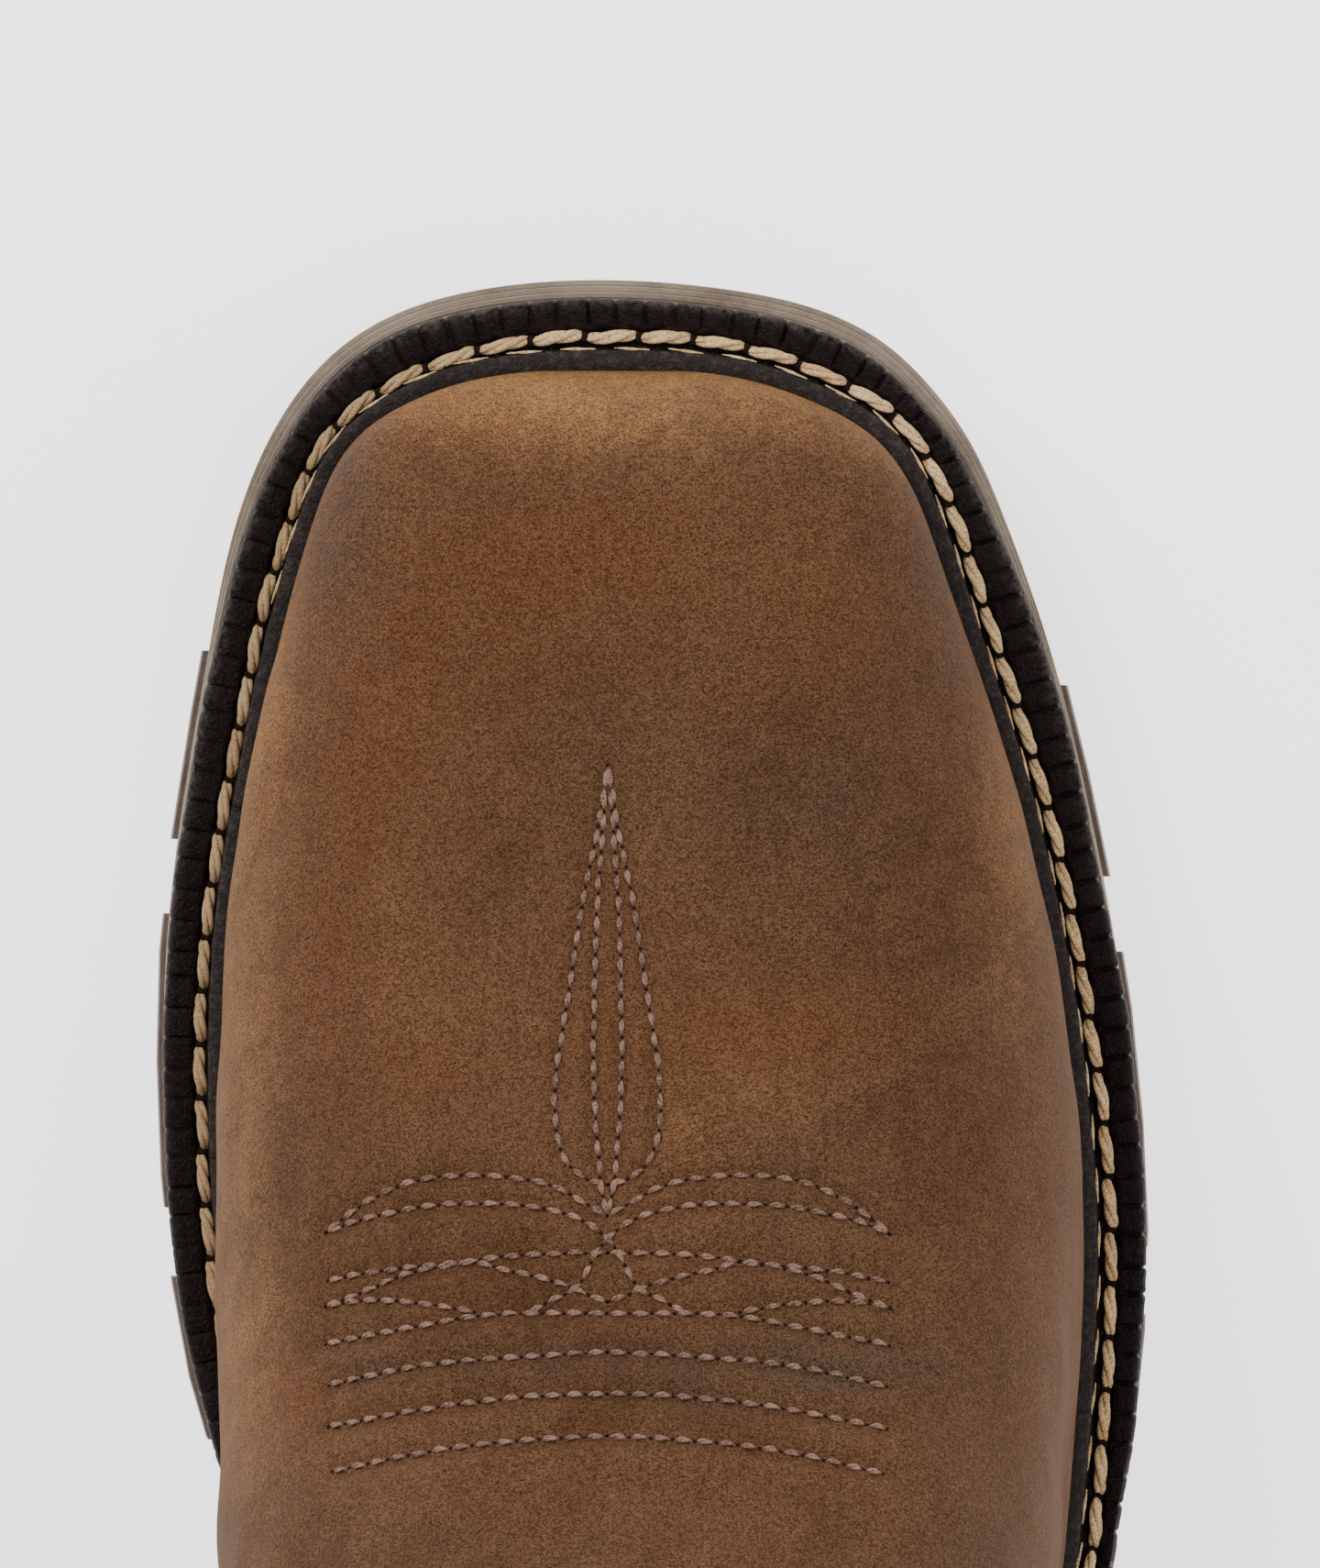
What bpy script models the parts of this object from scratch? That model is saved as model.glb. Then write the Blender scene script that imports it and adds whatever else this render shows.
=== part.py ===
"""Western work boot for the right foot, square toe, pull-on shaft, welted to a lugged rubber sole.

Metres, +Z up, toe towards +Y, outer (lateral) side towards +X. The boot stands on z = 0.
Lengths along the boot are counted from the back of the outsole, which becomes y = HEEL_END.
"""

import math
from collections import namedtuple

import bmesh
import bpy
import numpy as np

# Driving sizes of the last and of the sole
SOLE_LENGTH = 0.306
BALL_WIDTH = 0.112
SEAT_HEIGHT = 0.036
FOREPART_HEIGHT = 0.0105
TOE_SPRING = 0.0115
THROAT_HEIGHT = 0.128
ANKLE_WIDTH = 0.076

# Shaft
COLLAR_HEIGHT = 0.262
COLLAR_RISE = 0.023
SHAFT_WIDTH = 0.100
SHAFT_DEPTH = 0.134

# Upper
TOE_INSET = 0.0103
HEEL_INSET = 0.0043
LAST_LENGTH = SOLE_LENGTH - TOE_INSET - HEEL_INSET
TOE_ROUNDING = 0.024
VAMP_WALL = 0.0030
SHAFT_WALL = 0.0018
VAMP_STEP = VAMP_WALL - SHAFT_WALL
SKIRT = 0.0062
COUNTER_THICKNESS = 0.0014
COUNTER_HEIGHT = 0.098
COUNTER_WAIST = 0.018
COUNTER_SETBACK = 0.004
SEAM_Y = 0.100
FAN_START = 0.205
GAP = 0.0003
HEEL_OFFSET = 0.0015
TOE_OFFSET = -0.0016
SEAT_FALL = 0.0015

# Sole
LUG_DEPTH = 0.0035
BASE_THICKNESS = FOREPART_HEIGHT - LUG_DEPTH
MIDSOLE_THICKNESS = 0.0040
HEEL_BREAST = 0.074
ARCH_END = 0.186
TREAD_END = 0.226
LUGS_START = 0.152
TOE_RIM = 0.0023
SIDE_RIM = 0.0005
BLOCK_PROUD = 0.0011
BLOCK_HEIGHT = 0.0058
HEEL_TAPER = 0.0016
HEEL_GROOVE = 0.005
CHAMFER = 0.0004
CUT_BEYOND = 0.01

# Welt and insole
WELT_THICKNESS = 0.0040
BEAD_HEIGHT = 0.0015
BEAD_WIDTH = 0.0019
CHANNEL_WIDTH = 0.0017
CHANNEL_DEPTH = 0.0008
INSOLE_THICKNESS = 0.0035

# Trim of the shaft
BINDING_THICKNESS = 0.0010
BINDING_OUTSIDE = 0.009
BINDING_INSIDE = 0.006
STRAP_WIDTH = 0.026
STRAP_THICKNESS = 0.0020
STRAP_OUTSIDE = 0.046
STRAP_INSIDE = 0.032
STRAP_LOOP = 0.022
STRAP_EASE = 0.005
PIPING_RADIUS = 0.0013

# Density of the meshes
SIDE_POINTS = 15
BASE_CROWDING = 1.28
LOOP_POINTS = 68
FLAT_RADIUS = 0.25
DENSE = 400

# Where the boot stands: the middle of the outsole's length is y = 0
HEEL_END = -SOLE_LENGTH / 2

# Outline of the sole, heel to toe: share of the length, then inner and outer half widths as
# shares of the ball width
SOLE_PLAN = [
    (0.020, 0.205, 0.223),
    (0.046, 0.263, 0.286),
    (0.101, 0.299, 0.335),
    (0.183, 0.299, 0.348),
    (0.265, 0.281, 0.362),
    (0.330, 0.272, 0.393),
    (0.395, 0.281, 0.433),
    (0.461, 0.313, 0.473),
    (0.526, 0.366, 0.509),
    (0.586, 0.419, 0.534),
    (0.640, 0.445, 0.543),
    (0.695, 0.455, 0.536),
    (0.750, 0.453, 0.518),
    (0.805, 0.436, 0.489),
    (0.860, 0.410, 0.452),
    (0.914, 0.377, 0.400),
    (0.942, 0.345, 0.364),
    (0.962, 0.309, 0.323),
    (0.976, 0.270, 0.282),
    (0.989, 0.207, 0.213),
    (0.996, 0.138, 0.130),
]

# Outline of the upper where it meets the welt, the same columns, over the last's own length
LAST_PLAN = [
    (0.014, 0.161, 0.179),
    (0.035, 0.226, 0.248),
    (0.092, 0.266, 0.299),
    (0.178, 0.263, 0.312),
    (0.264, 0.241, 0.321),
    (0.332, 0.227, 0.345),
    (0.401, 0.232, 0.382),
    (0.469, 0.262, 0.421),
    (0.538, 0.314, 0.455),
    (0.590, 0.355, 0.469),
    (0.628, 0.379, 0.475),
    (0.672, 0.392, 0.476),
    (0.729, 0.393, 0.463),
    (0.785, 0.385, 0.440),
    (0.841, 0.362, 0.405),
    (0.903, 0.328, 0.352),
    (0.944, 0.296, 0.315),
    (0.970, 0.262, 0.276),
    (0.986, 0.206, 0.212),
    (0.996, 0.130, 0.134),
]

# Top line of the foot: share of the sole length, share of the throat height
RIDGE_FOOT = [
    (0.966, 0.356),
    (0.900, 0.372),
    (0.833, 0.399),
    (0.768, 0.438),
    (0.703, 0.492),
    (0.637, 0.563),
    (0.582, 0.645),
    (0.533, 0.750),
    (0.497, 0.867),
    (0.475, 1.000),
]

# Front line of the shaft: distance from the back line as a share of the shaft's depth, and share
# of the way from throat to collar
RIDGE_SHAFT = [
    (0.970, 0.160),
    (0.955, 0.370),
    (0.960, 0.580),
    (0.980, 0.800),
    (1.000, 1.000),
]

# Back line, heel to collar: distance forward of the upper's heel, share of the way from seat to
# collar, and how deep the rounding of the heel reaches; lengths as shares of the sole length
BACK_LINE = [
    (0.0000, 0.000, 0.112),
    (-0.0006, 0.028, 0.112),
    (-0.0045, 0.075, 0.114),
    (-0.0040, 0.130, 0.118),
    (0.0070, 0.210, 0.132),
    (0.0200, 0.310, 0.160),
    (0.0255, 0.430, 0.190),
    (0.0240, 0.580, 0.208),
    (0.0180, 0.790, 0.216),
    (0.0135, 1.000, 0.220),
]

# Sections that fan out from the ball to the heel: place in the fan, share of the way from ball
# width to ankle width on the inner and outer side, height of the widest place as a share of the
# section, fullness of the arch, height of the flare above the sole as a share of the throat
# height, and bow of the section as a share of the sole length
FAN = [
    (0.00, 0.00, 0.00, 0.22, 2.45, 0.17, 0.000),
    (0.25, 0.14, 0.22, 0.30, 2.30, 0.20, 0.018),
    (0.50, 0.45, 0.62, 0.40, 2.12, 0.28, 0.036),
    (0.75, 0.80, 0.88, 0.46, 2.05, 0.36, 0.024),
    (1.00, 1.00, 1.00, 0.50, 2.05, 0.42, 0.000),
]

# Toe and collar ends of the same columns
TOE_CREST = 0.10
TOE_FULLNESS = 2.75
COLLAR_CREST = 0.50
COLLAR_FULLNESS = 2.05
BALL_BULGE = 0.012

# Counts of sections
TOE_SECTIONS = 13
VAMP_SECTIONS = 8
HEEL_SECTIONS = 12
SHAFT_SECTIONS = 8
STEP_SHARE = 0.009
SHAFT_CROWDING = 1.35

# Row of points on which the vamp ends
VAMP_ROW = TOE_SECTIONS + VAMP_SECTIONS

# Bars of the tread: from and to, as shares of the sole length from the heel, and how far the bar
# stands out of the sole's side, as a share of the block's full overhang
TREAD_BARS = [
    (0.502, 0.536, 1.0),
    (0.562, 0.622, 1.0),
    (0.648, 0.758, 1.0),
    (0.786, 0.857, 1.0),
    (0.882, 0.918, -0.3),
    (0.938, 0.968, -0.3),
    (0.982, 1.010, -0.3),
]
BAR_SLANT = math.radians(2.3)
TREAD_GROOVES = (-0.17, 0.20)
TREAD_GROOVE_WIDTH = 0.0036

Section = namedtuple("Section", "base front bow widths crest fullness flare")
Outline = namedtuple("Outline", "lateral medial")

OUTER = 1
INNER = -1


def clear_scene():
    """Removes what a new file holds."""
    for obj in list(bpy.data.objects):
        bpy.data.objects.remove(obj)


def smooth_curve(points, closed, count=DENSE):
    """Cubic spline through the points, at even steps of chord length."""
    points = np.asarray(points, float)
    last = len(points) if closed else len(points) - 1
    following = np.roll(points, -1, axis=0)
    steps = np.linalg.norm(following - points, axis=1)[:last]
    bends = np.eye(len(points))
    right = np.zeros_like(points)
    inside = range(len(points)) if closed else range(1, len(points) - 1)
    for i in inside:
        before, after = steps[i - 1], steps[i % last]
        bends[i, i] = 2 * (before + after)
        bends[i, i - 1] = before
        bends[i, (i + 1) % len(points)] = after
        right[i] = 6 * ((following[i] - points[i]) / after - (points[i] - points[i - 1]) / before)
    second = np.linalg.solve(bends, right)
    ends = np.concatenate([[0], np.cumsum(steps)])
    at = np.linspace(0, ends[-1], count, endpoint=not closed)
    k = np.clip(np.searchsorted(ends, at, side="right") - 1, 0, last - 1)
    n = (k + 1) % len(points)
    size = steps[k][:, None]
    b = (at - ends[k])[:, None]
    a = size - b
    return (
        second[k] * a**3 / (6 * size)
        + second[n] * b**3 / (6 * size)
        + (points[k] / size - second[k] * size / 6) * a
        + (points[n] / size - second[n] * size / 6) * b
    )


def smoothstep(t):
    """Soft ramp from 0 to 1."""
    t = np.clip(t, 0, 1)
    return t * t * (3 - 2 * t)


def plan_outline(rows, start, length, heel_x, toe_x):
    """Both sides of a plan outline, heel to toe, as dense (x, y) arrays."""
    table = np.array(rows)
    along = start + table[:, 0] * length
    lateral = np.column_stack([table[:, 2] * BALL_WIDTH, along])
    medial = np.column_stack([-table[:, 1] * BALL_WIDTH, along])
    heel = [[heel_x, start]]
    toe = [[toe_x, start + length]]
    loop = smooth_curve(np.vstack([heel, lateral, toe, medial[::-1]]), closed=True, count=4 * DENSE)
    top = int(np.argmax(loop[:, 1]))
    bottom = int(np.argmin(loop[:, 1]))
    loop[:, 1] = start + (loop[:, 1] - loop[bottom, 1]) * length / (loop[top, 1] - loop[bottom, 1])
    loop = np.roll(loop, -bottom, axis=0)
    top = (top - bottom) % len(loop)
    return Outline(loop[: top + 1], np.vstack([loop[top:], loop[:1]])[::-1])


SOLE = plan_outline(SOLE_PLAN, 0.0, SOLE_LENGTH, HEEL_OFFSET, TOE_OFFSET)
LAST = plan_outline(LAST_PLAN, HEEL_INSET, LAST_LENGTH, HEEL_OFFSET, 0.0)


def half_width(outline, side, y):
    """Distance of the outline from the boot's axis at y, on one side."""
    line = outline.lateral if side == OUTER else outline.medial
    return np.interp(y, line[:, 1], line[:, 0] * side)


def sole_top(y):
    """Height of the outsole's upper face: level seat, arch, level tread and toe spring."""
    seat = SEAT_HEIGHT - SEAT_FALL * np.clip(y / HEEL_BREAST, 0, 1)
    drop = smoothstep((y - HEEL_BREAST) / (ARCH_END - HEEL_BREAST))
    spring = np.clip((y - TREAD_END) / (SOLE_LENGTH - TREAD_END), 0, None) ** 1.9
    return seat + (FOREPART_HEIGHT - seat) * drop + TOE_SPRING * spring


def feather_height(y):
    """Height of the upper's lower edge."""
    return sole_top(y) + GAP


def ridge_line():
    """Front and top line of the upper in the side view, toe to collar, as dense (y, z)."""
    foot = [(y * SOLE_LENGTH, z * THROAT_HEIGHT) for y, z in RIDGE_FOOT]
    collar_back = HEEL_INSET + BACK_LINE[-1][0] * SOLE_LENGTH
    rise = COLLAR_HEIGHT - THROAT_HEIGHT
    shaft = [
        (collar_back + depth * SHAFT_DEPTH, THROAT_HEIGHT + share * rise) for depth, share in RIDGE_SHAFT
    ]
    return smooth_curve(foot + shaft, closed=False)


def back_line():
    """Back line of the upper, seat to collar, as dense (y, z, depth of the rounding)."""
    seat = feather_height(HEEL_INSET)
    rise = COLLAR_HEIGHT - seat
    rows = [
        (HEEL_INSET + y * SOLE_LENGTH, seat + z * rise, depth * SOLE_LENGTH) for y, z, depth in BACK_LINE
    ]
    return smooth_curve(rows, closed=False)


RIDGE = ridge_line()
BACK = back_line()
TOE_TIP = HEEL_INSET + LAST_LENGTH


def ridge_at(share):
    """Point of the ridge at a share of its length from the fan's start to the collar."""
    start = int(np.argmin(np.abs(RIDGE[:, 1] - ridge_height(FAN_START))))
    line = RIDGE[start:]
    steps = np.linalg.norm(np.diff(line, axis=0), axis=1)
    at = np.concatenate([[0], np.cumsum(steps)])
    return np.array([np.interp(share * at[-1], at, line[:, i]) for i in range(2)])


def ridge_height(y):
    """Height of the top line over the forefoot, before the toe is rounded off."""
    order = np.argsort(RIDGE[:, 0])
    front = RIDGE[order]
    front = front[front[:, 0] > SEAM_Y + 2 * TOE_ROUNDING]
    return float(np.interp(y, front[:, 0], front[:, 1]))


def toe_profile(y):
    """Height of the top line with the toe's rounding."""
    inward = np.clip((TOE_TIP - y) / TOE_ROUNDING, 0, 1)
    rounding = (1 - (1 - inward) ** 2.5) ** 0.4
    base = feather_height(y)
    return base + (ridge_height(y) - base) * rounding


def toe_section(y):
    """Upright section across the forefoot."""
    share = (TOE_TIP - y) / (TOE_TIP - FAN_START)
    blend = smoothstep(share)
    ball = FAN[0]
    widths = tuple(half_width(LAST, side, y) * (1 + BALL_BULGE * blend) for side in (OUTER, INNER))
    return Section(
        base=np.array([y, feather_height(y)]),
        front=np.array([y, toe_profile(y)]),
        bow=0.0,
        widths=widths,
        crest=TOE_CREST + (ball[3] - TOE_CREST) * blend,
        fullness=TOE_FULLNESS + (ball[4] - TOE_FULLNESS) * blend,
        flare=ball[5] * THROAT_HEIGHT,
    )


VAMP_EDGE = 0.5
THROAT_SHARE = 0.385
HEEL_SHARE = 0.50


def fan_section(place):
    """Section that leans back from the ball (0) over the vamp's edge (0.5) to the heel (1)."""
    table = np.array(FAN)
    inner, outer, crest, fullness, flare, bow = (
        float(np.interp(place, table[:, 0], table[:, i])) for i in range(1, 7)
    )
    if place <= VAMP_EDGE:
        part = place / VAMP_EDGE
        base_y = FAN_START + (SEAM_Y - FAN_START) * part
        front = ridge_at(THROAT_SHARE * part)
    else:
        part = (place - VAMP_EDGE) / (1 - VAMP_EDGE)
        base_y = HEEL_INSET + (SEAM_Y - HEEL_INSET) * (1 - math.sin(part * math.pi / 2))
        front = ridge_at(THROAT_SHARE + (HEEL_SHARE - THROAT_SHARE) * part)
    ball = [half_width(LAST, side, FAN_START) * (1 + BALL_BULGE) for side in (OUTER, INNER)]
    shares = (outer, inner)
    return Section(
        base=np.array([base_y, feather_height(base_y)]),
        front=front,
        bow=bow * SOLE_LENGTH,
        widths=tuple(b + (ANKLE_WIDTH / 2 - b) * s for b, s in zip(ball, shares)),
        crest=crest,
        fullness=fullness,
        flare=flare * THROAT_HEIGHT,
    )


def shaft_section(height):
    """Ring of the shaft; height runs from 0 at the heel to 1 at the collar."""
    last = FAN[-1]
    lift = BACK[0, 1] + height * (COLLAR_HEIGHT - BACK[0, 1])
    base = np.array([np.interp(lift, BACK[:, 1], BACK[:, 0]), lift])
    width = ANKLE_WIDTH + (SHAFT_WIDTH - ANKLE_WIDTH) * (1 - (1 - height) ** 1.7)
    return Section(
        base=base,
        front=ridge_at(HEEL_SHARE + (1 - HEEL_SHARE) * height),
        bow=0.0,
        widths=(width / 2, width / 2),
        crest=last[3] + (COLLAR_CREST - last[3]) * height,
        fullness=last[4] + (COLLAR_FULLNESS - last[4]) * height,
        flare=last[5] * THROAT_HEIGHT,
    )


def collar_lift(widest, x, height):
    """How far the collar's sides stand above its front and back."""
    return COLLAR_RISE * height**3 * smoothstep(np.abs(x) / widest)


def section_side(section, side, count, height=0.0):
    """One side of a section, from its base to the ridge, closer near the base, as (x, y, z)."""
    q = (1 - np.cos(np.linspace(0, math.pi, DENSE // 2))) / 2
    run = section.front - section.base
    across = np.array([run[1], -run[0]]) / np.linalg.norm(run)
    line = section.base + np.outer(q, run) + np.outer(np.sin(q * math.pi) * section.bow, across)
    y, z = line[:, 0], line[:, 1]
    widest = section.widths[0 if side == OUTER else 1]
    above = np.clip((q - section.crest) / (1 - section.crest), 0, 1)
    arch = (1 - above**section.fullness) ** (1 / section.fullness)
    back_y = np.interp(z, BACK[:, 1], BACK[:, 0])
    depth = np.interp(z, BACK[:, 1], BACK[:, 2])
    behind = np.clip(1 - (y - back_y) / depth, 0, 1)
    rounding = (1 - behind**2.1) ** (1 / 2.1)
    blend = smoothstep((z - feather_height(y) - SKIRT) / section.flare)
    plan_y = y - (back_y - HEEL_INSET) * behind
    x = half_width(LAST, side, plan_y) * (1 - blend) + widest * arch * rounding * blend
    x = np.where(q >= 1, 0, x) * side
    z = z + collar_lift(widest, x, height)
    curve = np.column_stack([x, y, z])
    steps = np.linalg.norm(np.diff(curve, axis=0), axis=1)
    at = np.concatenate([[0], np.cumsum(steps)])
    spread_out = at[-1] * np.linspace(0, 1, count) ** BASE_CROWDING
    return np.column_stack([np.interp(spread_out, at, curve[:, i]) for i in range(3)])


def section_curve(section, count, height=0.0):
    """A whole section, inner base over the ridge to outer base."""
    inner = section_side(section, INNER, count, height)
    outer = section_side(section, OUTER, count, height)
    return np.vstack([inner, outer[::-1][1:]])


def toe_edge(curve):
    """The sole's front edge as a row of points that closes the first section."""
    t = np.linspace(-1, 1, len(curve))
    first, last = curve[0], curve[-1]
    x = first[0] + (last[0] - first[0]) * (t + 1) / 2
    y = first[1] + (TOE_TIP - first[1]) * (1 - t * t)
    return np.column_stack([x, y, feather_height(y)])


def last_rows():
    """Rows of points over the whole upper, toe edge to collar."""
    reach = TOE_TIP - FAN_START
    sections = [toe_section(TOE_TIP - reach * (i / TOE_SECTIONS) ** 2) for i in range(1, TOE_SECTIONS + 1)]
    sections += [fan_section(VAMP_EDGE * i / VAMP_SECTIONS) for i in range(1, VAMP_SECTIONS + 1)]
    sections.append(fan_section(VAMP_EDGE + STEP_SHARE))
    heel = 1 - VAMP_EDGE
    sections += [fan_section(VAMP_EDGE + heel * i / HEEL_SECTIONS) for i in range(1, HEEL_SECTIONS + 1)]
    rows = [section_curve(section, SIDE_POINTS) for section in sections]
    rows.insert(0, toe_edge(rows[0]))
    for i in range(1, SHAFT_SECTIONS + 1):
        height = (i / SHAFT_SECTIONS) ** SHAFT_CROWDING
        rows.append(section_curve(shaft_section(height), SIDE_POINTS, height))
    return np.array(rows)


def boot_frame(points):
    """From lengths counted from the sole's back to the part's own frame."""
    return np.asarray(points, float) + [0, HEEL_END, 0]


def mesh_object(name, vertices, faces, colour, roughness):
    """Object with its own material, faces turned outwards, smooth where the surface is."""
    mesh = bpy.data.meshes.new(name)
    mesh.from_pydata([tuple(v) for v in boot_frame(vertices)], [], faces)
    shape = bmesh.new()
    shape.from_mesh(mesh)
    bmesh.ops.remove_doubles(shape, verts=shape.verts, dist=1e-6)
    bmesh.ops.dissolve_degenerate(shape, dist=1e-6, edges=shape.edges)
    bmesh.ops.recalc_face_normals(shape, faces=shape.faces)
    if shape.calc_volume(signed=True) < 0:
        bmesh.ops.reverse_faces(shape, faces=shape.faces)
    shape.to_mesh(mesh)
    shape.free()
    mesh.shade_smooth()
    mesh.set_sharp_from_angle(angle=math.radians(35))
    obj = bpy.data.objects.new(name, mesh)
    bpy.data.collections["boot"].objects.link(obj)
    obj.data.materials.append(material(name, colour, roughness))
    return obj


def material(name, colour, roughness, metallic=0.0):
    """Principled material in a plain colour."""
    made = bpy.data.materials.new(name)
    made.use_nodes = True
    shader = made.node_tree.nodes["Principled BSDF"]
    shader.inputs["Base Color"].default_value = (*colour, 1)
    shader.inputs["Roughness"].default_value = roughness
    shader.inputs["Metallic"].default_value = metallic
    return made


def helper(obj):
    """Makes an object a cutter, which isn't part of the boot."""
    for collection in obj.users_collection:
        collection.objects.unlink(obj)
    bpy.data.collections["cutters"].objects.link(obj)
    obj.hide_render = True
    obj.display_type = "WIRE"
    return obj


def combine(obj, other, operation):
    """Adds an exact Boolean."""
    modifier = obj.modifiers.new(operation.title(), "BOOLEAN")
    modifier.operation = operation
    modifier.object = other
    return modifier


def grid_faces(rows, columns, closed=False):
    """Triangles of a grid of points stored row by row, all cut along the same diagonal."""
    faces = []
    width = columns if closed else columns - 1
    for i in range(rows - 1):
        for j in range(width):
            k = (j + 1) % columns
            a, b = i * columns + j, i * columns + k
            c, d = (i + 1) * columns + k, (i + 1) * columns + j
            faces += [(a, b, c), (a, c, d)]
    return faces


def offset_rows(rows, distance):
    """Moves a grid of points along the surface's outward normal."""
    along = np.gradient(rows, axis=0)
    across = np.gradient(rows, axis=1)
    ring = np.linalg.norm(rows[:, 0] - rows[:, -1], axis=1) < 1e-6
    seam = ((rows[:, 1] - rows[:, -2]) / 2)[ring]
    length = ((along[:, 0] + along[:, -1]) / 2)[ring]
    for end in (0, -1):
        across[ring, end] = seam
        along[ring, end] = length
    normal = np.cross(across, along)
    for end in (0, -1):
        normal[0, end] = normal[1, end]
    normal /= np.maximum(np.linalg.norm(normal, axis=2, keepdims=True), 1e-12)
    step = normal[VAMP_ROW] + normal[VAMP_ROW + 1]
    normal[VAMP_ROW : VAMP_ROW + 2] = step / np.linalg.norm(step, axis=1, keepdims=True)
    return rows - normal * distance


def moved_rows(rows, distance):
    """The surface moved along its normal, with its lower edge kept level with the sole."""
    moved = offset_rows(rows, distance)
    rim = feather_height(moved[:, :, 1])
    moved[:, :, 2] = np.maximum(moved[:, :, 2], rim)
    moved[0, :, 2] = rim[0]
    ends = open_rows(rows)
    moved[:ends, 0, 2] = rim[:ends, 0]
    moved[:ends, -1, 2] = rim[:ends, -1]
    return moved


def open_rows(rows):
    """How many rows end at the welt instead of at the back seam."""
    return next(i for i in range(len(rows)) if np.linalg.norm(rows[i, 0] - rows[i, -1]) < 1e-6)


def make_upper(rows):
    """Vamp and shaft as one wall, thicker where the vamp lies over the shaft."""
    inside = moved_rows(rows, -VAMP_WALL)
    count, columns = rows.shape[:2]
    outside = rows.copy()
    thin = moved_rows(rows, -VAMP_STEP)
    outside[VAMP_ROW + 1 :] = thin[VAMP_ROW + 1 :]
    vertices = np.vstack([outside.reshape(-1, 3), inside.reshape(-1, 3)])
    shift = count * columns
    faces = grid_faces(count, columns)
    faces += [tuple(shift + k for k in reversed(face)) for face in faces]
    rim = [(i, i + columns) for i in range(0, open_rows(rows) * columns, columns)]
    for a, b in rim:
        faces.append((a, b, b + shift, a + shift))
        faces.append((b + columns - 1, a + columns - 1, a + columns - 1 + shift, b + columns - 1 + shift))
    top = (count - 1) * columns
    for j in range(columns - 1):
        faces.append((j + 1, j, j + shift, j + 1 + shift))
        faces.append((top + j, top + j + 1, top + j + 1 + shift, top + j + shift))
    return mesh_object("upper", vertices, faces, (0.155, 0.075, 0.034), 0.72)


def trimmed_solid(name, sheets, limits, faces, colour, roughness):
    """Solid between two sheets of the same triangles, cut back to where every limit is positive."""
    points = list(np.hstack([sheet.reshape(-1, 3) for sheet in sheets] + [limits]))
    for limit in range(6, 6 + limits.shape[1]):
        for point in points:
            if abs(point[limit]) < GAP:
                point[limit] = GAP
        made = {}
        kept = []
        for face in faces:
            loop = []
            for a, b in zip(face, face[1:] + face[:1]):
                if points[a][limit] > 0:
                    loop.append(a)
                if (points[a][limit] > 0) != (points[b][limit] > 0):
                    low, high = min(a, b), max(a, b)
                    if (low, high) not in made:
                        share = points[low][limit] / (points[low][limit] - points[high][limit])
                        made[low, high] = len(points)
                        points.append(points[low] + (points[high] - points[low]) * share)
                    loop.append(made[low, high])
            kept += [(loop[0], loop[k], loop[k + 1]) for k in range(1, len(loop) - 1)]
        faces = kept
    used = sorted({k for face in faces for k in face})
    number = {k: i for i, k in enumerate(used)}
    faces = [tuple(number[k] for k in face) for face in faces]
    shift = len(used)
    edges = {(a, b) for face in faces for a, b in zip(face, face[1:] + face[:1])}
    faces += [tuple(shift + k for k in reversed(face)) for face in faces]
    faces += [(b, a, a + shift, b + shift) for a, b in edges if (b, a) not in edges]
    corners = np.array([points[k][i : i + 3] for i in (0, 3) for k in used])
    return mesh_object(name, corners, faces, colour, roughness)


def counter_top(y):
    """Height of the counter's upper edge, which drops from the heel to its front."""
    front = SEAM_Y - COUNTER_SETBACK
    waist = sole_top(front) + WELT_THICKNESS + BEAD_HEIGHT + COUNTER_WAIST
    rise = smoothstep((1 - y / (front - COUNTER_SETBACK)) * 1.05)
    return waist + (COUNTER_HEIGHT - waist) * rise


def make_counter(rows):
    """Heel piece over the wall, cut back to its outline."""
    count, columns = rows.shape[:2]
    inner = offset_rows(rows, GAP - VAMP_STEP)
    outer = offset_rows(rows, GAP - VAMP_STEP + COUNTER_THICKNESS)
    y, z = ((inner + outer) / 2)[:, :, 1], ((inner + outer) / 2)[:, :, 2]
    bottom = sole_top(y) + WELT_THICKNESS + BEAD_HEIGHT + 3 * GAP
    limits = np.stack([z - bottom, SEAM_Y - COUNTER_SETBACK - y, counter_top(y) - z], -1)
    limits[: VAMP_ROW + 1] = -SEAM_Y
    seam = {i * columns + columns - 1: i * columns for i in range(open_rows(rows), count)}
    faces = [tuple(seam.get(k, k) for k in face) for face in grid_faces(count, columns)]
    limits = limits.reshape(-1, 3)
    return trimmed_solid("counter", (outer, inner), limits, faces, (0.130, 0.062, 0.028), 0.72)


def spread(line, count):
    """Points along a dense line, closer together where it bends more."""
    steps = np.linalg.norm(np.diff(line, axis=0), axis=1)
    heading = np.unwrap(np.arctan2(*np.diff(line, axis=0).T))
    bend = np.abs(np.gradient(heading)) / steps
    bend = np.convolve(bend, np.ones(41) / 41, mode="same")
    at = np.concatenate([[0], np.cumsum(steps * np.sqrt(bend + 1 / FLAT_RADIUS))])
    even = np.linspace(0, at[-1], count)
    return np.column_stack([np.interp(even, at, line[:, i]) for i in range(2)])


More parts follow.
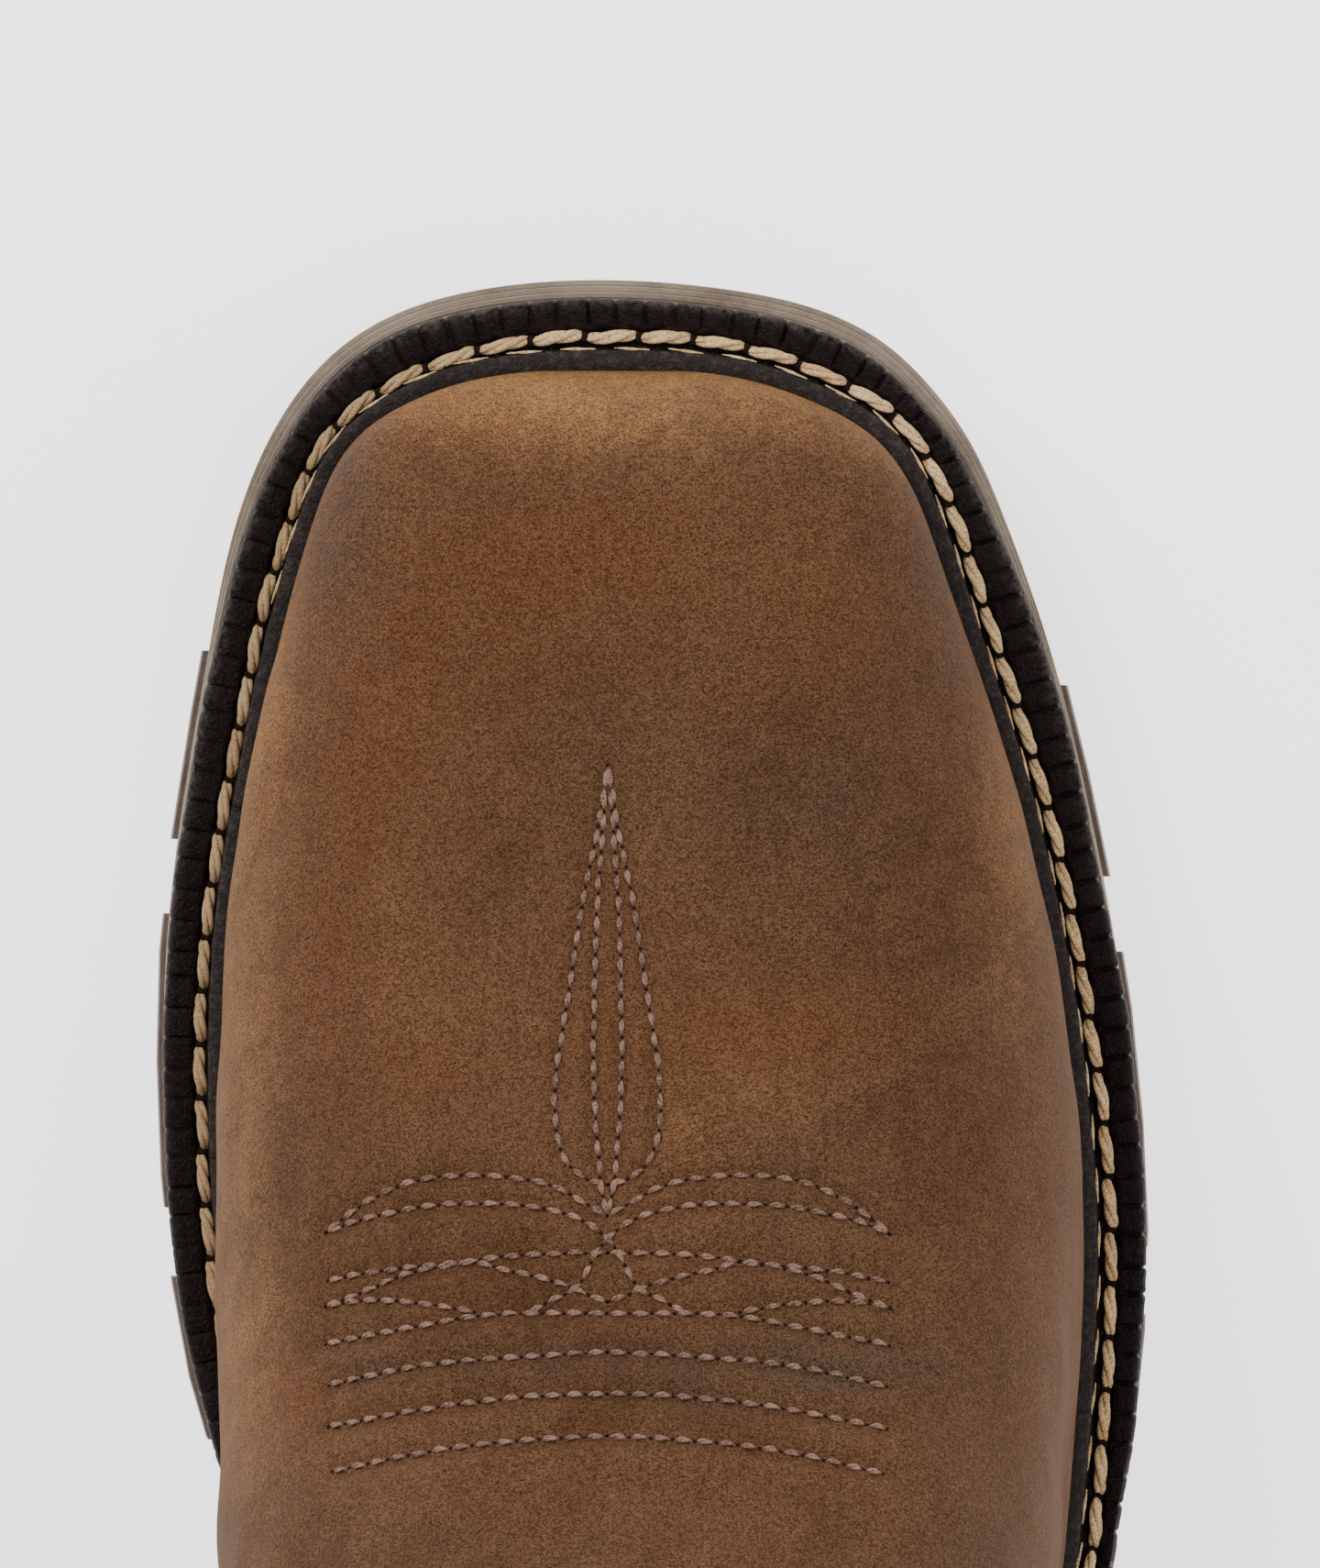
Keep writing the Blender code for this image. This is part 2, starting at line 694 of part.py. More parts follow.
def loop_points(outline, count, inset):
    """Closed loop heel, outer side, toe, inner side, moved inwards by inset(y)."""
    half = count // 2
    sides = [spread(line, half + 1) for line in (outline.lateral, outline.medial)]
    loop = np.vstack([sides[0], sides[1][::-1][1:-1]])
    tangent = np.roll(loop, -1, axis=0) - np.roll(loop, 1, axis=0)
    tangent /= np.linalg.norm(tangent, axis=1, keepdims=True)
    inward = np.column_stack([-tangent[:, 1], tangent[:, 0]])
    return loop + inward * inset(loop[:, 1])[:, None]


def even_inset(amount):
    """The same inset all round."""
    return lambda y: np.full(len(y), amount)


def rim_inset(y):
    """How far the welt's edge stands back from the sole's: most at the toe."""
    front = smoothstep((y - 0.82 * SOLE_LENGTH) / (0.17 * SOLE_LENGTH))
    return SIDE_RIM + (TOE_RIM - SIDE_RIM) * front


def strip_cap(start, count, flip=False):
    """Faces across a loop, pairing its outer and inner points."""
    half = count // 2
    faces = []
    for i in range(half):
        a, b = start + i, start + i + 1
        c, d = start + (count - i - 1) % count, start + (count - i) % count
        face = [v for k, v in enumerate((a, b, c, d)) if v not in (a, b, c, d)[:k]]
        faces.append(tuple(reversed(face)) if flip else tuple(face))
    return faces


def layered_solid(name, outline, layers, colour, roughness, count=LOOP_POINTS):
    """Closed solid whose side follows layers of (inset(y), height(y)), bottom to top."""
    vertices = []
    for inset, height in layers:
        loop = loop_points(outline, count, inset)
        vertices.extend((x, y, float(height(y))) for x, y in loop)
    faces = grid_faces(len(layers), count, closed=True)
    faces += strip_cap(0, count, flip=True)
    faces += strip_cap((len(layers) - 1) * count, count)
    return mesh_object(name, vertices, faces, colour, roughness)


def ring_solid(name, layers, colour, roughness, count=LOOP_POINTS):
    """Closed ring whose section runs round the layers of (outline, inset(y), height(y))."""
    vertices = []
    for outline, inset, height in layers:
        loop = loop_points(outline, count, inset)
        vertices.extend((x, y, float(height(y))) for x, y in loop)
    faces = grid_faces(len(layers), count, closed=True)
    last = (len(layers) - 1) * count
    faces += [(last + j, last + (j + 1) % count, (j + 1) % count, j) for j in range(count)]
    return mesh_object(name, vertices, faces, colour, roughness)


def above_top(lift):
    """Height function at a lift over the outsole's upper face."""
    return lambda y: sole_top(y) + lift


def bar_prism(start, end):
    """Corners and faces of one slanted bar across the tread."""
    reach = BALL_WIDTH
    lean = math.tan(BAR_SLANT) * reach
    corners = [(-reach, start + lean), (reach, start - lean), (reach, end - lean), (-reach, end + lean)]
    vertices = [(x, y, z) for z in (-CUT_BEYOND, SEAT_HEIGHT) for x, y in corners]
    faces = [(3, 2, 1, 0), (4, 5, 6, 7)]
    faces += [(i, (i + 1) % 4, (i + 1) % 4 + 4, i + 4) for i in range(4)]
    return vertices, faces


def make_lugs():
    """One helper solid for each bar of the tread, still across the whole sole."""
    lugs = []
    for number, (start, end, overhang) in enumerate(TREAD_BARS):
        layers = [
            (even_inset(2 * CHAMFER - overhang * BLOCK_PROUD), above_top(-FOREPART_HEIGHT)),
            (even_inset(-overhang * BLOCK_PROUD), above_top(2.5 * CHAMFER - FOREPART_HEIGHT)),
            (even_inset(CHAMFER - overhang * BLOCK_PROUD), above_top(BLOCK_HEIGHT - FOREPART_HEIGHT)),
        ]
        lug = layered_solid(f"lug_{number}", SOLE, layers, (0.2, 0.15, 0.12), 0.7)
        vertices, faces = bar_prism(start * SOLE_LENGTH, end * SOLE_LENGTH)
        bar = helper(mesh_object(f"bar_{number}", vertices, faces, (0.5, 0.5, 0.5), 0.5))
        combine(lug, bar, "INTERSECT")
        lugs.append(helper(lug))
    return lugs


def box_cutter(name, low, high):
    """Box between two corners, for a groove."""
    vertices = [(x, y, z) for z in (low[2], high[2]) for y in (low[1], high[1]) for x in (low[0], high[0])]
    faces = [(0, 2, 3, 1), (4, 5, 7, 6), (0, 1, 5, 4), (2, 6, 7, 3), (0, 4, 6, 2), (1, 3, 7, 5)]
    return helper(mesh_object(name, vertices, faces, (0.5, 0.5, 0.5), 0.5))


def make_outsole():
    """Rubber outsole: base, arch, toe spring and the bars of its tread."""
    top = -MIDSOLE_THICKNESS - GAP
    layers = [
        (even_inset(4 * CHAMFER), above_top(-BASE_THICKNESS)),
        (even_inset(CHAMFER), above_top(2 * CHAMFER - BASE_THICKNESS)),
        (even_inset(CHAMFER / 4), above_top(top - CHAMFER)),
        (even_inset(1.25 * CHAMFER), above_top(top)),
    ]
    outsole = layered_solid("outsole", SOLE, layers, (0.175, 0.130, 0.100), 0.62)
    for lug in make_lugs():
        combine(outsole, lug, "UNION")
    roots = FOREPART_HEIGHT - LUG_DEPTH
    for number, share in enumerate(TREAD_GROOVES):
        centre = share * BALL_WIDTH
        low = (centre - TREAD_GROOVE_WIDTH / 2, LUGS_START * 0.95, -CUT_BEYOND)
        high = (centre + TREAD_GROOVE_WIDTH / 2, TREAD_END, FOREPART_HEIGHT - roots)
        combine(outsole, box_cutter(f"tread_groove_{number}", low, high), "DIFFERENCE")
    return outsole


def make_midsole():
    """Lighter rubber layer between outsole and welt, with a stepped edge."""
    layers = [
        (even_inset(CHAMFER), above_top(-MIDSOLE_THICKNESS)),
        (even_inset(0.0), above_top(CHAMFER - MIDSOLE_THICKNESS)),
        (even_inset(0.75 * CHAMFER), above_top(-MIDSOLE_THICKNESS / 2)),
        (lambda y: rim_inset(y) * 0.45, above_top(-MIDSOLE_THICKNESS * 0.4)),
        (lambda y: rim_inset(y) * 0.6, above_top(-0.75 * CHAMFER)),
        (lambda y: rim_inset(y) * 0.75, above_top(0.0)),
    ]
    return layered_solid("midsole", SOLE, layers, (0.36, 0.315, 0.27), 0.6)


def heel_loop(inset, breast):
    """Outline of the heel: the sole's edge behind the breast, closed by a shallow hollow curve."""
    line = loop_points(SOLE, 4 * LOOP_POINTS, even_inset(inset))
    half = len(line) // 2
    sides = []
    for side in (line[: half + 1], np.vstack([line[half:], line[:1]])[::-1]):
        keep = side[side[:, 1] < breast]
        end = [[float(np.interp(breast, side[:half, 1], side[:half, 0])), breast]]
        whole = np.vstack([keep, end])
        at = np.concatenate([[0], np.cumsum(np.linalg.norm(np.diff(whole, axis=0), axis=1))])
        even = np.linspace(0, at[-1], 17)
        sides.append(np.column_stack([np.interp(even, at, whole[:, i]) for i in range(2)]))
    outer, inner = sides
    t = np.linspace(0, 1, 9)[1:-1]
    front = outer[-1] + np.outer(t, inner[-1] - outer[-1])
    front[:, 1] -= 0.04 * HEEL_BREAST * np.sin(t * math.pi)
    return np.vstack([outer, front, inner[::-1][:-1]])


def make_heel():
    """Heel block, tapered to its tread, with two grooves across."""
    top = above_top(-BASE_THICKNESS - GAP)
    layers = [
        (HEEL_TAPER + 2 * CHAMFER, HEEL_BREAST - 3 * HEEL_TAPER, lambda y: 0.0),
        (HEEL_TAPER, HEEL_BREAST - 2.5 * HEEL_TAPER, lambda y: 2.5 * CHAMFER),
        (HEEL_TAPER * 0.8, HEEL_BREAST - 2.1 * HEEL_TAPER, lambda y: LUG_DEPTH * 1.8),
        (HEEL_TAPER * 1.2, HEEL_BREAST - 2.4 * HEEL_TAPER, lambda y: LUG_DEPTH * 1.8 + 2 * CHAMFER),
        (HEEL_TAPER * 0.8, HEEL_BREAST - 2.1 * HEEL_TAPER, lambda y: LUG_DEPTH * 1.8 + 4 * CHAMFER),
        (CHAMFER, HEEL_BREAST - CHAMFER, top),
    ]
    vertices = []
    for inset, breast, height in layers:
        loop = heel_loop(inset, breast)
        vertices.extend((x, y, float(height(y))) for x, y in loop)
    count = len(loop)
    faces = grid_faces(len(layers), count, closed=True)
    last = (len(layers) - 1) * count
    faces.append(tuple(reversed(range(count))))
    faces.append(tuple(range(last, last + count)))
    heel = mesh_object("heel", vertices, faces, (0.215, 0.172, 0.140), 0.66)
    for number, share in enumerate((0.36, 0.68)):
        centre = HEEL_BREAST * share
        low = (-BALL_WIDTH, centre - HEEL_GROOVE / 2, -CUT_BEYOND)
        high = (BALL_WIDTH, centre + HEEL_GROOVE / 2, LUG_DEPTH)
        combine(heel, box_cutter(f"heel_groove_{number}", low, high), "DIFFERENCE")
    return heel


def make_welt():
    """Welt round the whole foot: flat edge, thread channel and the bead against the upper."""
    foot = GAP
    top = GAP + WELT_THICKNESS
    bead = top + BEAD_HEIGHT
    at = -GAP
    ridge = at - BEAD_WIDTH
    channel = ridge - CHANNEL_WIDTH
    layers = [
        (LAST, even_inset(at), above_top(foot)),
        (SOLE, rim_inset, above_top(foot)),
        (SOLE, rim_inset, above_top(top - 1.25 * CHAMFER)),
        (SOLE, lambda y: rim_inset(y) + 1.25 * CHAMFER, above_top(top)),
        (LAST, even_inset(channel), above_top(top)),
        (LAST, even_inset(channel + 0.75 * CHAMFER), above_top(top - CHANNEL_DEPTH)),
        (LAST, even_inset(ridge - CHAMFER / 4), above_top(top - CHANNEL_DEPTH)),
        (LAST, even_inset(ridge + CHAMFER), above_top(bead - 0.75 * CHAMFER)),
        (LAST, even_inset(ridge + 2 * CHAMFER), above_top(bead)),
        (LAST, even_inset(at), above_top(bead)),
    ]
    return ring_solid("welt", layers, (0.022, 0.018, 0.017), 0.55)


def make_insole(rows):
    """Insole that fills the lower end of the upper's inner face."""
    inside = moved_rows(rows, -VAMP_WALL)[: open_rows(rows)]
    toe = inside[0, 1:-1]
    loop = np.vstack([inside[::-1, 0], toe, inside[:, -1]])[:, :2]
    loop = loop[np.linalg.norm(loop - np.roll(loop, 1, axis=0), axis=1) > 1e-6]
    tangent = np.roll(loop, -1, axis=0) - np.roll(loop, 1, axis=0)
    tangent /= np.linalg.norm(tangent, axis=1, keepdims=True)
    inward = np.column_stack([tangent[:, 1], -tangent[:, 0]])
    top = GAP + INSOLE_THICKNESS
    layers = [(3 * GAP, GAP), (4 * GAP, top - 2 * CHAMFER), (6 * GAP, top)]
    vertices = []
    for inset, lift in layers:
        edge = loop + inward * inset
        vertices.extend((x, y, float(sole_top(y)) + lift) for x, y in edge)
    count = len(loop)
    faces = grid_faces(len(layers), count, closed=True)
    for start in (0, (len(layers) - 1) * count):
        for i in range(count // 2):
            quad = (start + i, start + i + 1, start + count - 2 - i, start + count - 1 - i)
            faces.append(tuple(dict.fromkeys(quad)))
    faces = [face for face in faces if len(face) > 2]
    return mesh_object("insole", vertices, faces, (0.32, 0.22, 0.13), 0.85)


def collar_point(rows, out, up):
    """Ring of points at a distance out of the shaft's face and up from its edge."""
    face = offset_rows(rows, -VAMP_STEP)[-2:, :-1]
    inside = offset_rows(rows, -VAMP_WALL)[-2:, :-1]
    normal = (face - inside) / SHAFT_WALL
    length = np.linalg.norm(face[1] - face[0], axis=1, keepdims=True)
    share = -up / length
    place = face[1] + (face[0] - face[1]) * share
    turn = normal[1] + (normal[0] - normal[1]) * np.maximum(share, 0)
    return place + turn * out


def make_binding(rows):
    """Folded leather strip over the collar's edge."""
    wall = SHAFT_WALL
    outer = GAP + BINDING_THICKNESS
    profile = [
        (GAP, -BINDING_OUTSIDE),
        (outer, -BINDING_OUTSIDE),
        (outer, CHAMFER),
        (outer - 1.5 * CHAMFER, outer),
        (-wall - outer + 1.5 * CHAMFER, outer),
        (-wall - outer, CHAMFER),
        (-wall - outer, -BINDING_INSIDE),
        (-wall - GAP, -BINDING_INSIDE),
        (-wall - GAP, GAP),
        (GAP, GAP),
    ]
    rings = [collar_point(rows, out, up) for out, up in profile]
    vertices = np.vstack(rings)
    count = len(rings[0])
    faces = grid_faces(len(profile), count, closed=True)
    last = (len(profile) - 1) * count
    faces += [(last + j, last + (j + 1) % count, (j + 1) % count, j) for j in range(count)]
    return mesh_object("collar_binding", vertices, faces, (0.105, 0.050, 0.024), 0.65)


def shaft_side(rows, side, along, height):
    """Outer face of the shaft at a place along the boot and a height, on one side."""
    outside = offset_rows(rows, -VAMP_STEP)
    half = outside.shape[1] // 2
    part = outside[:, : half + 1] if side == INNER else outside[:, half:][:, ::-1]
    xs = []
    zs = []
    for row in part[-SHAFT_SECTIONS - HEEL_SECTIONS :]:
        order = np.argsort(row[:, 1])
        xs.append(np.interp(along, row[order, 1], row[order, 0]))
        zs.append(np.interp(along, row[order, 1], row[order, 2]))
    step = (xs[-1] - xs[-2]) / (zs[-1] - zs[-2])
    if height > zs[-1]:
        return xs[-1] + step * (height - zs[-1])
    return float(np.interp(height, zs, xs))


def make_strap(rows, side, name):
    """Pull strap: a leather band over the collar, standing up as a loop."""
    middle = BACK[-1, 0] + SHAFT_DEPTH / 2
    collar = COLLAR_HEIGHT + COLLAR_RISE
    rest = 2 * GAP + STRAP_THICKNESS / 2
    clear = rest + BINDING_THICKNESS + 2 * GAP
    inner_rest = -SHAFT_WALL - rest
    inner_clear = -SHAFT_WALL - clear
    arch = (clear - inner_clear) / 2
    bend = (clear + inner_clear) / 2
    path = [
        (rest, -STRAP_OUTSIDE),
        (rest, -STRAP_OUTSIDE * 0.6),
        (rest, -BINDING_OUTSIDE - STRAP_EASE),
        (clear, -BINDING_OUTSIDE + STRAP_THICKNESS / 2),
        (clear, -STRAP_THICKNESS),
        (bend + arch * 1.35, STRAP_LOOP * 0.35),
        (bend + arch * 1.40, STRAP_LOOP * 0.70),
        (bend + arch * 0.85, STRAP_LOOP * 0.93),
        (bend, STRAP_LOOP),
        (bend - arch * 0.85, STRAP_LOOP * 0.93),
        (bend - arch * 1.40, STRAP_LOOP * 0.70),
        (bend - arch * 1.35, STRAP_LOOP * 0.35),
        (inner_clear, -STRAP_THICKNESS),
        (inner_clear, -BINDING_INSIDE),
        (inner_rest, -BINDING_INSIDE - 1.2 * STRAP_EASE),
        (inner_rest, -STRAP_INSIDE),
    ]
    path = np.array(path)
    turn = np.gradient(path, axis=0)
    turn /= np.linalg.norm(turn, axis=1, keepdims=True)
    outward = np.column_stack([turn[:, 1], -turn[:, 0]])
    across = np.linspace(-STRAP_WIDTH / 2, STRAP_WIDTH / 2, 5)
    vertices = []
    for face in (1, -1):
        for offset in across:
            line = path + outward * face * STRAP_THICKNESS / 2
            for out, lift in line:
                x = shaft_side(rows, side, middle + offset, collar + lift)
                vertices.append((x + side * out, middle + offset, collar + lift))
    steps, lanes = len(path), len(across)
    shift = steps * lanes
    faces = grid_faces(lanes, steps)
    faces += [tuple(shift + k for k in reversed(face)) for face in faces]
    for j in range(steps - 1):
        last = (lanes - 1) * steps
        faces.append((j + 1, j, j + shift, j + 1 + shift))
        faces.append((last + j, last + j + 1, last + j + 1 + shift, last + j + shift))
    for i in range(lanes - 1):
        a, b = i * steps, (i + 1) * steps
        faces.append((a, b, b + shift, a + shift))
        faces.append((b + steps - 1, a + steps - 1, a + steps - 1 + shift, b + steps - 1 + shift))
    return mesh_object(name, vertices, faces, (0.120, 0.057, 0.026), 0.7)


def make_piping(rows, side, name):
    """Corded seam down the side of the shaft, from the strap to the vamp and counter."""
    middle = BACK[-1, 0] + SHAFT_DEPTH / 2
    top = COLLAR_HEIGHT + COLLAR_RISE - STRAP_OUTSIDE - STRAP_THICKNESS
    low = COUNTER_HEIGHT * 0.92
    curve = bpy.data.curves.new(name, "CURVE")
    curve.dimensions = "3D"
    curve.bevel_depth = PIPING_RADIUS
    curve.bevel_resolution = 1
    curve.use_fill_caps = True
    spline = curve.splines.new("POLY")
    heights = np.linspace(top, low, 14)
    spline.points.add(len(heights) - 1)
    for point, height in zip(spline.points, heights):
        x = shaft_side(rows, side, middle, height) + side * (GAP + PIPING_RADIUS)
        point.co = (*boot_frame((x, middle, height)), 1)
    obj = bpy.data.objects.new(name, curve)
    bpy.data.collections["boot"].objects.link(obj)
    curve.materials.append(material(name, (0.060, 0.028, 0.014), 0.6))
    return obj


def centre_boot():
    """Moves everything sideways so that the bounding box stands over x = 0."""
    graph = bpy.context.evaluated_depsgraph_get()
    across = []
    for obj in bpy.data.collections["boot"].objects:
        across += [vertex.co.x for vertex in obj.evaluated_get(graph).to_mesh().vertices]
    middle = (min(across) + max(across)) / 2
    for name in ("boot", "cutters"):
        for obj in bpy.data.collections[name].objects:
            obj.location.x = -middle


def main():
    """Builds the boot."""
    clear_scene()
    for name in ("boot", "cutters"):
        collection = bpy.data.collections.new(name)
        bpy.context.scene.collection.children.link(collection)
    rows = last_rows()
    make_outsole()
    make_midsole()
    make_heel()
    make_welt()
    make_insole(rows)
    make_upper(rows)
    make_counter(rows)
    make_binding(rows)
    for side, word in ((INNER, "medial"), (OUTER, "lateral")):
        make_strap(rows, side, f"pull_strap_{word}")
        make_piping(rows, side, f"side_piping_{word}")
    centre_boot()


main()
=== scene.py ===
"""Visual model of a pull-on western work boot for the right foot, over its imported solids.

Lengths along the boot are counted from the back of the outsole, in metres, and heights from the
floor. Widths are counted from the boot's axis, the outer (lateral) side being positive.
"""

import logging
import math
from dataclasses import dataclass
from enum import Enum
from functools import cached_property
from typing import Callable, Iterable, Sequence

import bmesh
import bpy
import numpy as np
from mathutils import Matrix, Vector
from mathutils.bvhtree import BVHTree


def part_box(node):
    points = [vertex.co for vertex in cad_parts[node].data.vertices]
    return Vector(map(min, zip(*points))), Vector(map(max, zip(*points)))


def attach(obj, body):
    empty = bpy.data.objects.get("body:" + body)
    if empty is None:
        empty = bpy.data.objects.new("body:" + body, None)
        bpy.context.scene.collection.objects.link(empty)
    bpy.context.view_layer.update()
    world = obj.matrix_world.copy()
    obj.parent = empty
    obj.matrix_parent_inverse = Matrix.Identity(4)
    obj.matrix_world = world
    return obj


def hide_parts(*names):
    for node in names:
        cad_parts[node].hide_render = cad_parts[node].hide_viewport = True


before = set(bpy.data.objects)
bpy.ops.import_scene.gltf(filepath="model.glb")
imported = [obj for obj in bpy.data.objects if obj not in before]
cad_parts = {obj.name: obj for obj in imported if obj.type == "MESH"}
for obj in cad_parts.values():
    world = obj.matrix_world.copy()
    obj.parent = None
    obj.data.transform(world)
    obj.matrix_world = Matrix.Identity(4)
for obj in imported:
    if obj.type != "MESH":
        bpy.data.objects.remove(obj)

log = logging.getLogger("boot")

Array = np.ndarray
Color = tuple[float, float, float]
Piece = bpy.types.Object
Material = bpy.types.Material
NodeTree = bpy.types.NodeTree
Socket = bpy.types.NodeSocket

MM = 0.001
SQUARE = ((-1, -1), (1, -1), (1, 1), (-1, 1))

# Lamps: name, place, size in metres and power in watts
LIGHTS = (
    ("key", (-0.95, 1.05, 1.25), 0.8, 34.0),
    ("fill", (1.1, 0.2, 1.3), 1.2, 15.0),
    ("top", (0.1, -0.4, 1.9), 1.4, 8.0),
)

# The shaft lies this far under the face of the last, on which the vamp lies
SHAFT_STEP = 0.0012
SHAFT_WALL = 0.0018

# Outline of the sole, heel to toe: share of the length, then inner and outer half widths as
# shares of the ball width
SOLE_PLAN = [
    (0.020, 0.205, 0.223), (0.046, 0.263, 0.286), (0.101, 0.299, 0.335), (0.183, 0.299, 0.348),
    (0.265, 0.281, 0.362), (0.330, 0.272, 0.393), (0.395, 0.281, 0.433), (0.461, 0.313, 0.473),
    (0.526, 0.366, 0.509), (0.586, 0.419, 0.534), (0.640, 0.445, 0.543), (0.695, 0.455, 0.536),
    (0.750, 0.453, 0.518), (0.805, 0.436, 0.489), (0.860, 0.410, 0.452), (0.914, 0.377, 0.400),
    (0.942, 0.345, 0.364), (0.962, 0.309, 0.323), (0.976, 0.270, 0.282), (0.989, 0.207, 0.213),
    (0.996, 0.138, 0.130),
]

# Outline of the upper where it meets the welt, the same columns, over the last's own length
LAST_PLAN = [
    (0.014, 0.161, 0.179), (0.035, 0.226, 0.248), (0.092, 0.266, 0.299), (0.178, 0.263, 0.312),
    (0.264, 0.241, 0.321), (0.332, 0.227, 0.345), (0.401, 0.232, 0.382), (0.469, 0.262, 0.421),
    (0.538, 0.314, 0.455), (0.590, 0.355, 0.469), (0.628, 0.379, 0.475), (0.672, 0.392, 0.476),
    (0.729, 0.393, 0.463), (0.785, 0.385, 0.440), (0.841, 0.362, 0.405), (0.903, 0.328, 0.352),
    (0.944, 0.296, 0.315), (0.970, 0.262, 0.276), (0.986, 0.206, 0.212), (0.996, 0.130, 0.134),
]

# Top line of the foot: share of the sole length, share of the throat height
RIDGE_FOOT = [
    (0.966, 0.356), (0.900, 0.372), (0.833, 0.399), (0.768, 0.438), (0.703, 0.492), (0.637, 0.563),
    (0.582, 0.645), (0.533, 0.750), (0.497, 0.867), (0.475, 1.000),
]

# Front line of the shaft: distance from the back line as a share of the shaft's depth, and share
# of the way from throat to collar
RIDGE_SHAFT = [
    (0.970, 0.160), (0.955, 0.370), (0.960, 0.580), (0.980, 0.800), (1.000, 1.000),
]

# Back line, heel to collar: distance forward of the upper's heel, share of the way from seat to
# collar, and how deep the rounding of the heel reaches; lengths as shares of the sole length
BACK_LINE = [
    (0.0000, 0.000, 0.112), (-0.0006, 0.028, 0.112), (-0.0045, 0.075, 0.114), (-0.0040, 0.130, 0.118),
    (0.0070, 0.210, 0.132), (0.0200, 0.310, 0.160), (0.0255, 0.430, 0.190), (0.0240, 0.580, 0.208),
    (0.0180, 0.790, 0.216), (0.0135, 1.000, 0.220),
]

# Sections that fan out from the ball to the heel: place in the fan, share of the way from ball
# width to ankle width on the inner and outer side, height of the widest place as a share of the
# section, fullness of the arch, height of the flare above the sole as a share of the throat
# height, and bow of the section as a share of the sole length
FAN = [
    (0.00, 0.00, 0.00, 0.22, 2.45, 0.17, 0.000), (0.25, 0.14, 0.22, 0.30, 2.30, 0.20, 0.018),
    (0.50, 0.45, 0.62, 0.40, 2.12, 0.28, 0.036), (0.75, 0.80, 0.88, 0.46, 2.05, 0.36, 0.024),
    (1.00, 1.00, 1.00, 0.50, 2.05, 0.42, 0.000),
]

# Toe stitch, in millimetres: width from the axis and distance from the back of the sole. Each
# route is sewn once as given and once mirrored.
TOE_STITCH = {
    "plume_outer": [
        (0.0, 250.9), (1.3, 243.0), (2.4, 237.7), (3.5, 231.3), (4.2, 226.5), (5.0, 221.6),
        (5.6, 217.5), (5.8, 213.6), (5.5, 210.0), (4.3, 207.2), (1.8, 205.3), (0.0, 204.9),
    ],
    "plume_inner": [
        (0.2, 250.4), (0.5, 244.9), (1.0, 238.2), (1.3, 232.3), (1.5, 225.0), (1.6, 219.2),
        (1.4, 212.9), (1.0, 208.1), (0.6, 204.3), (0.0, 201.6),
    ],
    "wing_upper": [
        (0.0, 201.6), (2.1, 202.7), (5.6, 204.6), (9.9, 205.6), (14.0, 205.9), (18.4, 205.7),
        (22.8, 204.7), (26.6, 202.8), (31.0, 199.4),
    ],
    "wing_lower": [
        (31.0, 199.4), (27.8, 200.7), (23.9, 201.7), (20.0, 202.5), (14.9, 202.8), (11.1, 202.8),
        (7.3, 202.4), (3.5, 201.4), (0.0, 199.1), (-1.8, 196.5), (-3.1, 194.2), (-6.2, 192.4),
        (-8.8, 191.0),
    ],
    "first_row": [
        (0.0, 197.6), (5.4, 197.5), (10.8, 197.2), (16.0, 196.5), (21.5, 195.9), (26.3, 195.2),
        (30.8, 194.2),
    ],
    "first_dip": [
        (0.0, 192.4), (1.9, 193.0), (4.3, 194.0), (7.8, 195.0), (11.5, 195.8), (14.4, 196.6),
    ],
    "second_row": [
        (14.4, 196.6), (18.9, 195.9), (22.9, 194.8), (26.3, 193.3), (31.0, 191.4),
    ],
    "third_row": [
        (14.5, 191.2), (16.9, 191.6), (20.8, 192.1), (24.7, 192.3), (31.0, 191.5),
    ],
    "fourth_row": [
        (0.0, 191.1), (7.0, 191.1), (14.1, 190.8), (20.6, 189.6), (26.0, 188.5), (30.9, 187.4),
    ],
    "fifth_row": [
        (0.0, 187.0), (4.3, 186.8), (10.3, 186.4), (16.3, 185.9), (23.4, 184.8), (30.5, 183.0),
    ],
    "sixth_row": [
        (0.0, 182.6), (4.3, 182.5), (10.3, 182.1), (16.3, 181.4), (23.6, 180.1), (30.5, 178.6),
    ],
    "seventh_row": [
        (0.0, 178.2), (10.3, 177.6), (20.3, 176.2), (30.0, 173.9),
    ],
}


class Tone(Enum):
    """Kinds of uneven colour on the leather, each a mask on the mesh."""

    # The wear mask is real wear; on the vamp and shaft it also carries painted sheen and painted light
    # along the edges.
    PALE = "wear"
    DARK = "dark"
    RED = "red"
    GREY = "soil"


